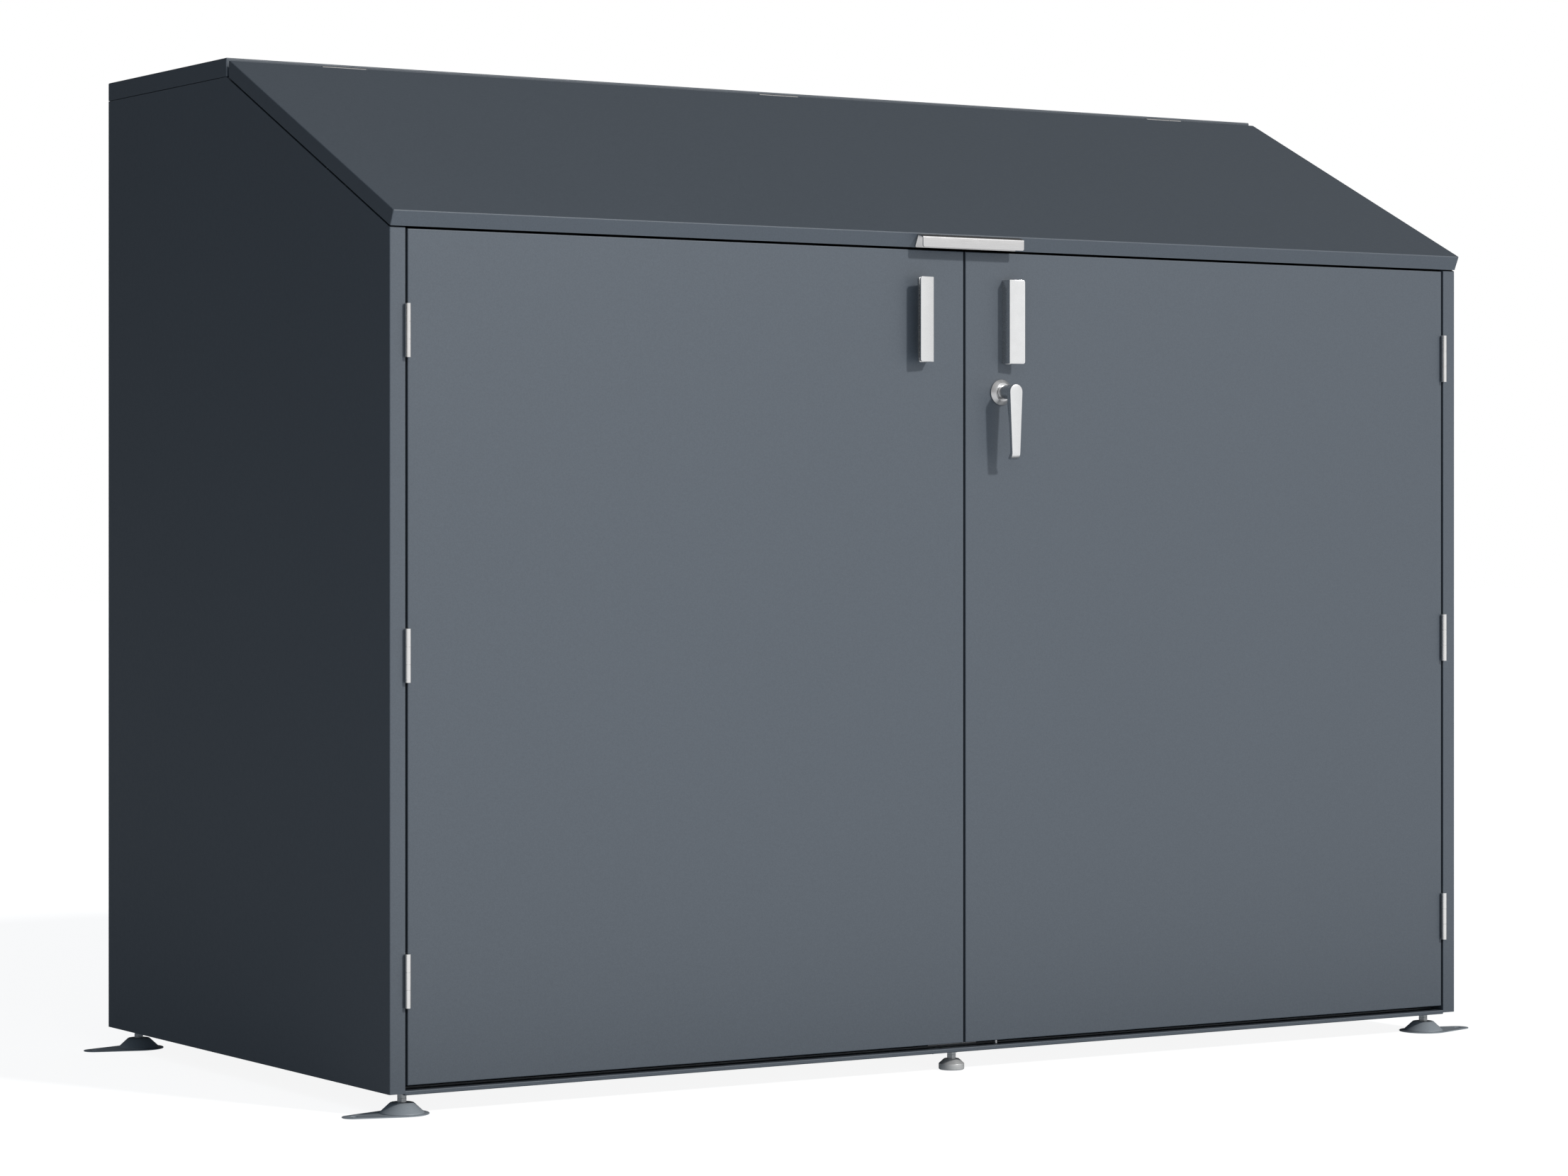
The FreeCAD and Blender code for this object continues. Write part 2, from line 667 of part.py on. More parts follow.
def anchor_foot(label, x, y, side):
    """A painted dome on a teardrop plate whose point takes the ground anchor."""
    plate = new_body()
    hole_x = x + s.plate_reach * side
    pad(plate, "XY", [("belt", (x, y), s.plate_radius, (hole_x, y), s.plate_tip_radius)],
        0, s.plate_thickness)
    pocket(plate, "XY", [("circle", hole_x, y, s.anchor_hole_radius)], 0, s.plate_thickness)
    dome = new_body()
    low = s.plate_thickness
    profile = [(x, low), (x + s.dome_base_radius, low),
               (x + s.dome_base_radius, low + s.dome_rim),
               (x + s.dome_top_radius, foot_low), (x, foot_low)]
    sketch = new_sketch(dome, "XZ", [("polygon", profile)], -y)
    axis = sketch.addGeometry(Part.LineSegment(
        FreeCAD.Vector(x.value, 0, 0), FreeCAD.Vector(x.value, foot_low.value, 0)), True)
    place_point(sketch, axis, 1, x, Size.of(0))
    place_point(sketch, axis, 2, x, foot_low)
    turned = dome.newObject("PartDesign::Revolution", "Turned")
    turned.Profile = sketch
    turned.ReferenceAxis = (sketch, ["Axis0"])
    turned.Angle = 360
    doc.recompute()
    pocket(dome, "XY", [("circle", x, y, s.stem_radius + s.running_gap)],
           foot_low - s.dome_height / 2 - s.socket_gap, foot_low)
    round_rings(dome, s.dome_round, s.dome_top_radius, foot_low)
    group(label, [plate, dome])


anchor_foot("front_left_foot", -foot_x, front_foot_y, -1)
anchor_foot("front_right_foot", foot_x, front_foot_y, 1)
anchor_foot("rear_left_foot", -foot_x, rear_foot_y, -1)
anchor_foot("rear_right_foot", foot_x, rear_foot_y, 1)

# Door hinges

axis_y = front - s.hinge_radius
knuckle_half = s.hinge_length / (2 * KNUCKLES)
hinge_places = [base + s.hinge_first + s.hinge_spacing * turn for turn in range(3)]
pins = []


def hinge_leaf(side, middle, on_frame):
    """One leaf with its knuckles: two on the frame, one on the door."""
    axis_x = (stile_inner - s.door_gap / 2) * side
    if on_frame:
        spans = [(middle - s.hinge_length / 2, middle - knuckle_half),
                 (middle + knuckle_half, middle + s.hinge_length / 2)]
        face, inner = stile_inner * side, (stile_inner - s.hinge_leaf) * side
        bore = s.hinge_pin_radius
    else:
        spans = [(middle - knuckle_half + s.knuckle_gap, middle + knuckle_half - s.knuckle_gap)]
        face = (stile_inner - s.door_gap) * side
        inner = (stile_inner - s.door_gap + s.hinge_leaf) * side
        bore = s.hinge_pin_radius + s.running_gap
    solids = [block(face, inner, front + s.hinge_leaf_setback, front + s.hinge_leaf_depth,
                    middle - s.hinge_length / 2, middle + s.hinge_length / 2)]
    for low, high in spans:
        solids.append(rod("z", low, high, axis_x, axis_y, s.hinge_radius))
        solids.append(block(face, inner, axis_y, front + s.hinge_web_depth, low, high))
    hole = rod("z", middle - s.hinge_length, middle + s.hinge_length, axis_x, axis_y, bore)
    return cut(fuse(*solids), hole)


for label, side, on_frame in (("left_door_frame_leaves", -1, True),
                              ("right_door_frame_leaves", 1, True),
                              ("left_door_hinge_leaves", -1, False),
                              ("right_door_hinge_leaves", 1, False)):
    group(label, [hinge_leaf(side, middle, on_frame) for middle in hinge_places])
group("door_hinge_pins", [
    rod("z", middle - s.hinge_length / 2, middle + s.hinge_length / 2,
        (stile_inner - s.door_gap / 2) * side, axis_y, s.hinge_pin_radius)
    for side in (-1, 1) for middle in hinge_places])

# Doors

door_outer = stile_inner - s.door_gap
door_inner = s.centre_gap / 2
screw_x = s.pull_offset + (s.pull_flange + s.pull_wall) / 2
screw_reach = s.pull_length / 2 - s.screw_inset
screw_heights = (pull_z - screw_reach, pull_z + screw_reach)


def screw_holes(body, side, radius, low, high):
    """The two holes for the screws of a door's pull."""
    pocket(body, "XZ", [("circle", screw_x * side, z, radius) for z in screw_heights], low, high)


def door_panel(label, side, holes, spindle):
    """A folded door tray, open at the back."""
    body = new_body()
    t = s.door_sheet
    a, b = door_inner * side, door_outer * side
    pad(body, "XZ", [rectangle(a, door_low, b, door_high)], front, door_back)
    pocket(body, "XZ", [rectangle(a + t * side, door_low + t, b - t * side, door_high - t)],
           front + t, door_back)
    round_edges(body, s.door_bend_radius, lambda p, d, length: near(p.y, front))
    for x, radius in holes:
        pocket(body, "XY", [("circle", x, rod_y, radius + s.rod_hole_gap)],
               door_low - OVERRUN, door_high + OVERRUN)
    if spindle:
        pocket(body, "XZ", [("circle", s.lock_offset, lock_z,
                             s.spindle_radius + s.rod_hole_gap)], front, front + t)
    screw_holes(body, side, s.screw_radius, front, front + t)
    keep(label, body)


door_panel("left_door_panel", -1, [(-s.bolt_offset, s.bolt_radius)], False)
door_panel("right_door_panel", 1, [(s.lock_offset, s.rod_radius)], True)


def door_stiffeners(label, side):
    """Two folded rails glued across the back of a door's face."""
    t = s.door_sheet
    a = (door_inner + s.stiffener_setback) * side
    b = (door_outer - t) * side
    middle = (door_low + door_high) / 2
    items = []
    for place in (middle - s.door_stiffener_spacing / 2, middle + s.door_stiffener_spacing / 2):
        low, high = place - s.door_stiffener_height / 2, place + s.door_stiffener_height / 2
        low_y, high_y = front + t, front + t + s.door_stiffener_depth
        hat = block(a, b, low_y, high_y, low, high)
        items.append(cut(hat, block(a, b, low_y, high_y - t, low + t, high - t)))
    group(label, items)


door_stiffeners("left_door_stiffeners", -1)
door_stiffeners("right_door_stiffeners", 1)


def door_pull(label, side):
    """An extruded pull: flange on the door, web, and a face that opens to the hinges."""
    body = new_body()
    w = s.pull_wall
    x = s.pull_offset * side
    back, out = front, front - s.pull_reach
    tip = out - s.pull_flare
    pad(body, "XY", [("polygon", [
        (x, back), (x, out), (x + s.pull_face * side, tip),
        (x + s.pull_face * side, tip + w), (x + w * side, out + w),
        (x + w * side, back - w), (x + s.pull_flange * side, back - w),
        (x + s.pull_flange * side, back)])],
        pull_z - s.pull_length / 2, pull_z + s.pull_length / 2)
    screw_holes(body, side, s.screw_radius + s.screw_gap, front - w, front)
    round_edges(body, s.pull_corner, lambda p, d, length: (
        near(p.x, x + s.pull_face * side) and near(abs(d.y), 1)))
    keep(label, body)


def pan_screws(label, side):
    """Round-headed screws through the pull's flange and the door's sheet."""
    face = front - s.pull_wall
    group(label, [
        fuse(rod("y", face - s.screw_head_height, face, screw_x * side, z, s.screw_head_radius),
             rod("y", face, face + s.screw_length, screw_x * side, z, s.screw_radius))
        for z in screw_heights])


door_pull("left_door_pull", -1)
door_pull("right_door_pull", 1)
pan_screws("left_pull_screws", -1)
pan_screws("right_pull_screws", 1)

# Lock on the right door

rosette = new_body()
lock_x = s.lock_offset
rosette_front = front - s.rosette_height
sketch = new_sketch(rosette, "XY", [("polygon", [
    (lock_x, front), (lock_x + s.rosette_radius, front),
    (lock_x + s.rosette_radius, front - s.rosette_rim),
    (lock_x + s.rosette_face_radius, rosette_front), (lock_x, rosette_front)])], lock_z)
axis = sketch.addGeometry(Part.LineSegment(
    FreeCAD.Vector(lock_x.value, front.value, 0),
    FreeCAD.Vector(lock_x.value, rosette_front.value, 0)), True)
place_point(sketch, axis, 1, lock_x, front)
place_point(sketch, axis, 2, lock_x, rosette_front)
turned = rosette.newObject("PartDesign::Revolution", "Turned")
turned.Profile = sketch
turned.ReferenceAxis = (sketch, ["Axis0"])
turned.Angle = 360
doc.recompute()
pocket(rosette, "XZ", [("circle", lock_x, lock_z, s.spindle_radius + s.running_gap)],
       rosette_front, front)
keep("lock_rosette", rosette)

case_back = front + s.door_sheet + s.lock_case_depth
case = new_body()
pad(case, "XZ", [rectangle(lock_x - s.lock_case_width / 2, lock_z - s.lock_case_height / 2,
                           lock_x + s.lock_case_width / 2, lock_z + s.lock_case_height / 2)],
    front + s.door_sheet, case_back)
pocket(case, "XZ", [("circle", lock_x, lock_z, s.spindle_radius + s.running_gap)],
       front + s.door_sheet, case_back)
keep("lock_case", case)

lever_front = front - s.lever_reach
lever_back = lever_front + s.lever_thickness
lever_low = lock_z - s.lever_length
cam_front = case_back + s.cam_gap
face = new_body()
pad(face, "XZ", [("belt", (lock_x, lock_z), s.lever_head_radius,
                  (lock_x, lever_low), s.lever_tip_radius)],
    lever_front, lever_front + s.lever_thickness + s.lever_toe)
lever_room = s.lever_head_radius * 2  # Wider than the face, so that only the face sets the width
profile = new_body()
pad(profile, "YZ", [("polygon", [
    (lever_front, lock_z + lever_room), (lever_front, lever_low),
    (lever_front + s.lever_toe, lever_low),
    (lever_front + s.lever_toe, lever_low + s.lever_toe_edge),
    (lever_front + s.lever_waist, lever_low + s.lever_toe_rise),
    (lever_front + s.lever_waist, lock_z - s.lever_waist_drop),
    (lever_back, lock_z - s.lever_shoulder), (lever_back, lock_z + lever_room)])],
    lock_x - lever_room, lock_x + lever_room)
round_edges(profile, s.lever_bend_radius, lambda p, d, length: (
    near(p.y, lever_front) and near(p.z, lever_low)))
neck_back = rosette_front - s.cam_gap
keep("lever_handle", fuse(
    common(face, profile),
    rod("y", lever_back, neck_back, lock_x, lock_z, s.neck_radius),
    rod("y", neck_back, cam_front, lock_x, lock_z, s.spindle_radius)))

cam_back = cam_front + s.cam_thickness
flat_front = cam_back + s.cam_gap
flat_back = flat_front + s.rod_flat
pin_side = s.cam_pin_circle / math.sqrt(2)
cam = fuse(rod("y", cam_front, cam_back, lock_x, lock_z, s.cam_radius),
           rod("y", cam_back, flat_back + s.cam_gap, lock_x + pin_side, lock_z - pin_side,
               s.cam_pin_radius),
           rod("y", cam_back, flat_back + s.cam_gap, lock_x - pin_side, lock_z + pin_side,
               s.cam_pin_radius))
keep("lock_cam", cam)


def lock_rod(label, direction, tip):
    """A round bar whose flat end has a cross slot for one pin of the cam."""
    pin_z = lock_z - pin_side * direction
    inner = s.cam_pin_radius
    outer = s.cam_pin_circle + s.cam_pin_radius + s.slot_wall
    shoulder = lock_z + (s.cam_radius + s.rod_shoulder) * direction
    foot = pin_z - (s.cam_pin_radius + s.slot_wall) * direction
    flat = fuse(
        block(lock_x + inner * direction, lock_x + outer * direction, flat_front, flat_back,
              foot, shoulder + s.guide_height * direction),
        block(lock_x - s.rod_radius * direction, lock_x + outer * direction, flat_front,
              flat_back, shoulder, shoulder + s.guide_height * direction),
        rod("z", shoulder + s.rod_radius * direction, tip, lock_x, rod_y, s.rod_radius))
    room = s.cam_pin_radius + s.slot_gap
    near_x = lock_x + pin_side * direction
    far_x = lock_x + s.cam_pin_circle * direction
    slot = fuse(
        block(near_x, far_x, flat_front, flat_back, pin_z - room, pin_z + room),
        rod("y", flat_front, flat_back, near_x, pin_z, room),
        rod("y", flat_front, flat_back, far_x, pin_z, room))
    keep(label, cut(flat, slot))


upper_tip = door_high - s.rod_top_inset
lock_rod("upper_lock_rod", 1, upper_tip)
lock_rod("lower_lock_rod", -1, sill_high + s.rod_tip_gap)


def guide(x, z, radius):
    """A block on the door's face with a bore that guides a round bar."""
    low, high = front + s.door_sheet, front + s.door_sheet + s.guide_depth
    solid = block(x - s.guide_width / 2, x + s.guide_width / 2, low, high,
                  z - s.guide_height / 2, z + s.guide_height / 2)
    return cut(solid, rod("z", z - s.guide_height, z + s.guide_height, x, rod_y,
                          radius + s.running_gap))


guide_places = [pull_z, lock_z - s.guide_setback, door_high - s.guide_edge,
                door_low + s.guide_edge, (lock_z + door_low) / 2]
group("lock_rod_guides", [guide(lock_x, z, s.rod_radius) for z in guide_places])

# Shoot bolts of the left door

bolt_x = -s.bolt_offset
bolt_guides = []


def shoot_bolt(label, tip, direction):
    """A round bolt whose thumb knob runs between two guides. Direction points to its tip."""
    edge = door_high if direction > 0 else door_low
    near_guide = edge - s.guide_edge * direction
    rest = s.guide_height / 2 + s.bolt_knob_radius + s.bolt_knob_gap
    knob_z = near_guide - (rest + s.rod_throw) * direction
    far_guide = knob_z - rest * direction
    tail = far_guide - s.bolt_tail * direction
    body = fuse(rod("z", tip, tail, bolt_x, rod_y, s.bolt_radius),
                rod("y", rod_y, rod_y + s.bolt_knob_length, bolt_x, knob_z, s.bolt_knob_radius))
    keep(label, body)
    bolt_guides.extend([guide(bolt_x, near_guide, s.bolt_radius),
                        guide(bolt_x, far_guide, s.bolt_radius)])


shoot_bolt("upper_shoot_bolt", upper_tip, 1)
shoot_bolt("lower_shoot_bolt", door_low + s.bolt_tip_inset, -1)
group("shoot_bolt_guides", bolt_guides)

# Lid

lip_y = front - s.lid_overhang
lip_z = slope_line(lip_y, s.lid_gap)
nose_y = lip_y - s.lid_thickness * slope_sin
nose_z = lip_z + s.lid_thickness * slope_cos


def lid_outline(inset):
    """The lid's section, moved inwards by a wall. Its open side is the bottom."""
    under = 0 if inset.value == 0 else s.lid_thickness
    low = s.lid_gap - under
    clear = s.lid_gap + s.lid_thickness - inset
    back = lid_rear - inset
    y0 = lip_y + inset * slope_cos
    z0 = lip_z + inset * slope_sin
    reach = clear - s.lid_gap
    drop = s.lid_gap - low
    return [(back, slope_line(back, low)), (back, slope_line(back, clear)),
            (y0 - reach * slope_sin, z0 + reach * slope_cos),
            (y0 + drop * slope_sin, z0 - drop * slope_cos)]


lid = new_body()
pad(lid, "YZ", [("polygon", lid_outline(Size.of(0)))], -half, half)
pocket(lid, "YZ", [("polygon", lid_outline(s.sheet))], -half + s.sheet, half - s.sheet)
round_edges(lid, s.bend_radius, lambda p, d, length: (
    (near(abs(d.x), 1) and (near(p.z, nose_z) or (
        near(p.y, lid_rear) and p.z > slope_line(lid_rear, s.lid_gap + s.sheet).value)))
    or (near(abs(p.x), half) and abs(d.x) < 0.5 and length > s.lid_thickness.value * 2
        and p.z > slope_line(Size.of(p.y), s.lid_gap + s.lid_thickness / 2).value)
    or (near(abs(p.x), half) and abs(d.x) < 0.5 and p.y < lip_y.value)))
notch_reach = s.lid_hinge_length / 2 + s.lid_notch_gap
pocket(lid, "XY", [rectangle(x - notch_reach, lid_rear - s.lid_notch_depth,
                             x + notch_reach, lid_rear + OVERRUN) for x in lid_hinge_places],
       lid_axis_z - s.lid_notch_drop, roof)
keep("lid_panel", lid)


def along_slope(y, clearance):
    """A point on a line that runs with the slope, square off it by a clearance."""
    return (y, slope_line(y, clearance))


lid_under = s.lid_gap + s.lid_thickness - s.sheet


def lid_stiffener(middle):
    """A rib under the lid, a folded channel along the slope."""
    rib = new_body()
    reach = s.lid_stiffener_width / 2
    low_y, high_y = lip_y + s.lid_thickness, lid_rear - s.lid_thickness
    low = lid_under - s.lid_stiffener_depth
    pad(rib, "YZ", [("polygon", [along_slope(low_y, low), along_slope(high_y, low),
                                 along_slope(high_y, lid_under), along_slope(low_y, lid_under)])],
        middle - reach, middle + reach)
    low_y, high_y = low_y - OVERRUN, high_y + OVERRUN
    inner = low + s.rail_sheet
    outer = lid_under + OVERRUN
    pocket(rib, "YZ", [("polygon", [along_slope(low_y, inner), along_slope(high_y, inner),
                                    along_slope(high_y, outer), along_slope(low_y, outer)])],
           middle - reach + s.rail_sheet, middle + reach - s.rail_sheet)
    return rib


group("lid_stiffeners", [lid_stiffener(s.lid_stiffener_spacing / 2 * side) for side in (-1, 1)])

# Lid pull on the front lip: back plate, a web that falls to the front, and a face
pull = new_body()
pull_wall = s.lid_pull_wall
back_top = (lip_y - s.lid_pull_back * slope_sin, lip_z + s.lid_pull_back * slope_cos)
back_inner = lip_y - pull_wall / slope_cos
face_back = back_top[0] - s.lid_pull_web
face_front = face_back - pull_wall
face_top = back_top[1] - s.lid_pull_drop
face_low = face_top - s.lid_pull_face
web_fall = s.lid_pull_drop / (s.lid_pull_web + pull_wall)
web_low = face_top - pull_wall * root(1 + web_fall * web_fall)
bend_z = (web_low + web_fall * (back_inner + slope * lip_z - face_front)) / (1 + web_fall * slope)
pad(pull, "YZ", [("polygon", [
    (lip_y, lip_z), back_top, (face_front, face_top), (face_front, face_low),
    (face_back, face_low), (face_back, web_low + web_fall * pull_wall),
    (back_inner - slope * (bend_z - lip_z), bend_z), (back_inner, lip_z)])],
    -s.lid_pull_length / 2, s.lid_pull_length / 2)
keep("lid_pull", pull)

# Lid hinges

lid_knuckle_half = s.lid_hinge_length / (2 * KNUCKLES)
frame_leaves, lid_leaves, lid_pins = [], [], []
rise = s.lid_knuckle_grip
for x in lid_hinge_places:
    left, right = x - s.lid_hinge_length / 2, x + s.lid_hinge_length / 2
    cap_leaf = [block(left, right, cap_front - s.hinge_leaf, cap_front,
                      lid_axis_z - s.lid_leaf_depth, lid_axis_z - s.lid_hinge_radius)]
    for a, b in ((left, x - lid_knuckle_half), (x + lid_knuckle_half, right)):
        cap_leaf.append(rod("x", a, b, lid_axis_y, lid_axis_z, s.lid_hinge_radius))
        cap_leaf.append(block(a, b, cap_front - s.hinge_leaf, cap_front,
                              lid_axis_z - s.lid_leaf_depth, lid_axis_z + rise))
    frame_leaves.append(cut(fuse(*cap_leaf), rod(
        "x", left, right, lid_axis_y, lid_axis_z, s.lid_hinge_pin_radius)))
    a, b = x - lid_knuckle_half + s.knuckle_gap, x + lid_knuckle_half - s.knuckle_gap
    lid_leaf = [block(left, right, lid_rear, lid_rear + s.hinge_leaf,
                      lid_axis_z - s.lid_leaf_depth, lid_axis_z - s.lid_hinge_radius),
                rod("x", a, b, lid_axis_y, lid_axis_z, s.lid_hinge_radius),
                block(a, b, lid_rear, lid_rear + s.hinge_leaf,
                      lid_axis_z - s.lid_leaf_depth, lid_axis_z + rise)]
    lid_leaves.append(cut(fuse(*lid_leaf), rod(
        "x", left, right, lid_axis_y, lid_axis_z, s.lid_hinge_pin_radius + s.running_gap)))
    lid_pins.append(rod("x", left, right, lid_axis_y, lid_axis_z, s.lid_hinge_pin_radius))
group("lid_frame_leaves", frame_leaves)
group("lid_hinge_leaves", lid_leaves)
group("lid_hinge_pins", lid_pins)

# Keepers in the lid for the upper lock rod and the upper shoot bolt

def lip_inner(z):
    """Depth of the inner face of the lid's lip at a height."""
    return lip_y + s.sheet / slope_cos - (z - lip_z) * slope


def keeper(x, radius):
    """A bent plate on the lid's lip with a hole for a round bar."""
    body = new_body()
    low = door_high + s.keeper_gap
    high = low + s.keeper_plate
    crest = low + s.keeper_rise
    wall = s.keeper_plate / slope_cos
    back = lip_inner(low) + s.keeper_depth
    pad(body, "YZ", [("polygon", [
        (lip_inner(low), low), (back, low), (back, high), (lip_inner(high) + wall, high),
        (lip_inner(crest) + wall, crest), (lip_inner(crest), crest)])],
        x - s.keeper_width / 2, x + s.keeper_width / 2)
    pocket(body, "XY", [("circle", x, rod_y, radius + s.keeper_hole_gap)], low, high)
    return body


group("lid_keepers", [keeper(lock_x, s.rod_radius), keeper(bolt_x, s.bolt_radius)])

# Gas struts: the wall pivot is under the roof cap, the lid pivot under the lid

wall_y = lid_axis_y + s.strut_wall_back
wall_z = lid_axis_z - s.strut_wall_drop
lid_pivot_y = lid_axis_y - s.strut_lid_along * slope_cos + s.strut_lid_below * slope_sin
lid_pivot_z = lid_axis_z - s.strut_lid_along * slope_sin - s.strut_lid_below * slope_cos
closed_y, closed_z = lid_pivot_y - wall_y, lid_pivot_z - wall_z
closed_length = root(closed_y * closed_y + closed_z * closed_z)
arm_y, arm_z = lid_pivot_y - lid_axis_y, lid_pivot_z - lid_axis_z
open_y = lid_axis_y + arm_y * cosine(s.lid_opening) + arm_z * sine(s.lid_opening) - wall_y
open_z = lid_axis_z - arm_y * sine(s.lid_opening) + arm_z * cosine(s.lid_opening) - wall_z
stroke = root(open_y * open_y + open_z * open_z) - closed_length
strut_turn = FreeCAD.Rotation(FreeCAD.Vector(0, 0, 1),
                              FreeCAD.Vector(0, closed_y.value, closed_z.value))


def strut_part(label, side, item):
    """Turn a piece made along Z from the wall pivot into the strut's place."""
    result = doc.addObject("Part::Compound", "Strut")
    result.Links = [item]
    result.Placement = FreeCAD.Placement(FreeCAD.Vector(), strut_turn)
    bind(result, "Placement.Base.x", s.strut_offset * side)
    bind(result, "Placement.Base.y", wall_y)
    bind(result, "Placement.Base.z", wall_z)
    keep(label, result)


def strut(name, side):
    """A gas strut: tube with an eye at the wall, rod with an eye at the lid."""
    eye, wide = s.strut_eye_radius, s.strut_eye_width / 2
    grip = s.strut_stud_radius + s.strut_tube_wall
    bore = s.strut_tube_radius - s.strut_tube_wall
    tube_low = eye + s.strut_neck_length / 2
    piston_low = tube_low + s.strut_cap + s.strut_end_room
    high = piston_low + s.strut_piston + stroke + s.strut_end_room + s.strut_cap
    tube = cut(fuse(rod("x", -wide, wide, 0, 0, eye),
                    rod("z", grip, eye + s.strut_neck_length, 0, 0, s.strut_neck_radius),
                    rod("z", tube_low, high, 0, 0, s.strut_tube_radius)),
               rod("x", -wide, wide, 0, 0, s.strut_stud_radius + s.running_gap),
               rod("z", tube_low + s.strut_cap, high - s.strut_cap, 0, 0, bore),
               rod("z", high - s.strut_cap, high, 0, 0, s.strut_rod_radius + s.running_gap))
    strut_part(name + "_strut_tube", side, tube)
    end = closed_length
    shaft = fuse(rod("z", piston_low, end - grip, 0, 0, s.strut_rod_radius),
                 rod("z", piston_low, piston_low + s.strut_piston, 0, 0, bore - s.running_gap),
                 rod("x", -wide, wide, 0, end, eye),
                 rod("z", end - eye - s.strut_neck_length, end - grip, 0, 0, s.strut_neck_radius))
    strut_part(name + "_strut_rod", side, shaft)


strut("left", -1)
strut("right", 1)

wall_brackets, lid_brackets = [], []
for side in (-1, 1):
    plate_x = half - s.sheet
    stud = rod("x", (s.strut_offset - s.strut_eye_width / 2) * side, plate_x * side,
               wall_y, wall_z, s.strut_stud_radius)
    flange = block((plate_x - s.strut_bracket) * side, plate_x * side,
                   wall_y - s.strut_bracket_width / 2, wall_y + s.strut_bracket_width / 2,
                   wall_z - s.strut_bracket_width, wall_z + s.strut_bracket_width / 2)
    wall_brackets.append(fuse(stud, flange))
    bracket = new_body()
    face = (s.strut_offset + s.strut_eye_width / 2 + s.strut_pin_gap) * side
    back = face + s.strut_bracket * side
    wide = s.strut_bracket_width / 2
    near_y, far_y = lid_pivot_y - wide, lid_pivot_y + wide
    foot = [along_slope(near_y, lid_under), along_slope(far_y, lid_under)]
    reach = s.strut_eye_radius
    pad(bracket, "YZ", [("polygon", [
        foot[0], (lid_pivot_y - reach, lid_pivot_z - reach),
        (lid_pivot_y + reach, lid_pivot_z - reach), foot[1]])], face, back)
    pad(bracket, "YZ", [("polygon", [
        along_slope(near_y, lid_under - s.strut_bracket),
        along_slope(far_y, lid_under - s.strut_bracket),
        along_slope(far_y, lid_under), along_slope(near_y, lid_under)])],
        face - s.strut_lid_foot * side, back)
    lid_brackets.append(bracket)
group("strut_wall_brackets", wall_brackets)
group("strut_lid_brackets", lid_brackets)

doc.recompute()

# Refuse to write anything while an object has failed
for item in doc.Objects:
    if "Invalid" in item.State or "Error" in item.State:
        raise ValueError("%s (%s) failed: %s" % (item.Name, item.Label, item.State))
os.makedirs("parts", exist_ok=True)
for item in nodes:
    if item.Shape.isNull() or not item.Shape.isValid() or not item.Shape.Solids:
        raise ValueError("%s has no valid solid" % item.Label)
for item in nodes:
    item.Shape.exportStep("parts/%s.step" % item.Label)
print("%d sub-parts written" % len(nodes))
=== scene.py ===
"""Looks of a bicycle locker: its finishes, its detailed hardware, the studio and the camera.

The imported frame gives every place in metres: +X to the right seen from the front, the doors
face -Y, +Z up and the ground at z = 0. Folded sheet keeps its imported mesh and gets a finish.
The small hardware is built here with its bevels, threads and drives.
"""

import logging
import math
from collections.abc import Callable, Mapping, Sequence
from dataclasses import dataclass, field
from enum import Enum

import bmesh
import bpy
from mathutils import Matrix, Vector


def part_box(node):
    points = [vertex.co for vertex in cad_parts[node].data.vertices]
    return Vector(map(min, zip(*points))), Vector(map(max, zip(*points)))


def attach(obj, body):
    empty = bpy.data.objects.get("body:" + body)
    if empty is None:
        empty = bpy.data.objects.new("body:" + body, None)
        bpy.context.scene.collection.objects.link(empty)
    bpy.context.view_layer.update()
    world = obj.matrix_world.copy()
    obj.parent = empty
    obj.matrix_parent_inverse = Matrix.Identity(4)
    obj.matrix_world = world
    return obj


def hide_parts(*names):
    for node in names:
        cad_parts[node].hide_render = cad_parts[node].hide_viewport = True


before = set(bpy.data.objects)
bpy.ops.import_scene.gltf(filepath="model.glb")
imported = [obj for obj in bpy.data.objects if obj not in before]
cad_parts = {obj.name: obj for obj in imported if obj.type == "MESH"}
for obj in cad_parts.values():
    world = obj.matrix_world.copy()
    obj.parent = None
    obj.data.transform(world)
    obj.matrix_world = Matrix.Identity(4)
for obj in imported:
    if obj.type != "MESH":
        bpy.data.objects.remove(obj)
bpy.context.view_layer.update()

LOG = logging.getLogger("locker")
MM = 0.001
MEAN = 0.5  # the middle of a noise's values


class Slot(Enum):
    """The record's material slots."""

    PAINTED = "painted_steel"
    BLACK = "black_steel"
    GALVANISED = "galvanised_steel"
    STAINLESS = "stainless_steel"
    ALUMINIUM = "aluminium"
    RUBBER = "rubber"


class Facing(Enum):
    """The way that a shape drafted along +Z is turned before it is placed."""

    UP = Matrix.Identity(4)
    FORWARD = Matrix.Rotation(math.radians(90), 4, "X")
    BACKWARD = Matrix.Rotation(math.radians(-90), 4, "X")


class Side(Enum):
    """Left and right, seen from the front."""

    LEFT = -1
    RIGHT = 1


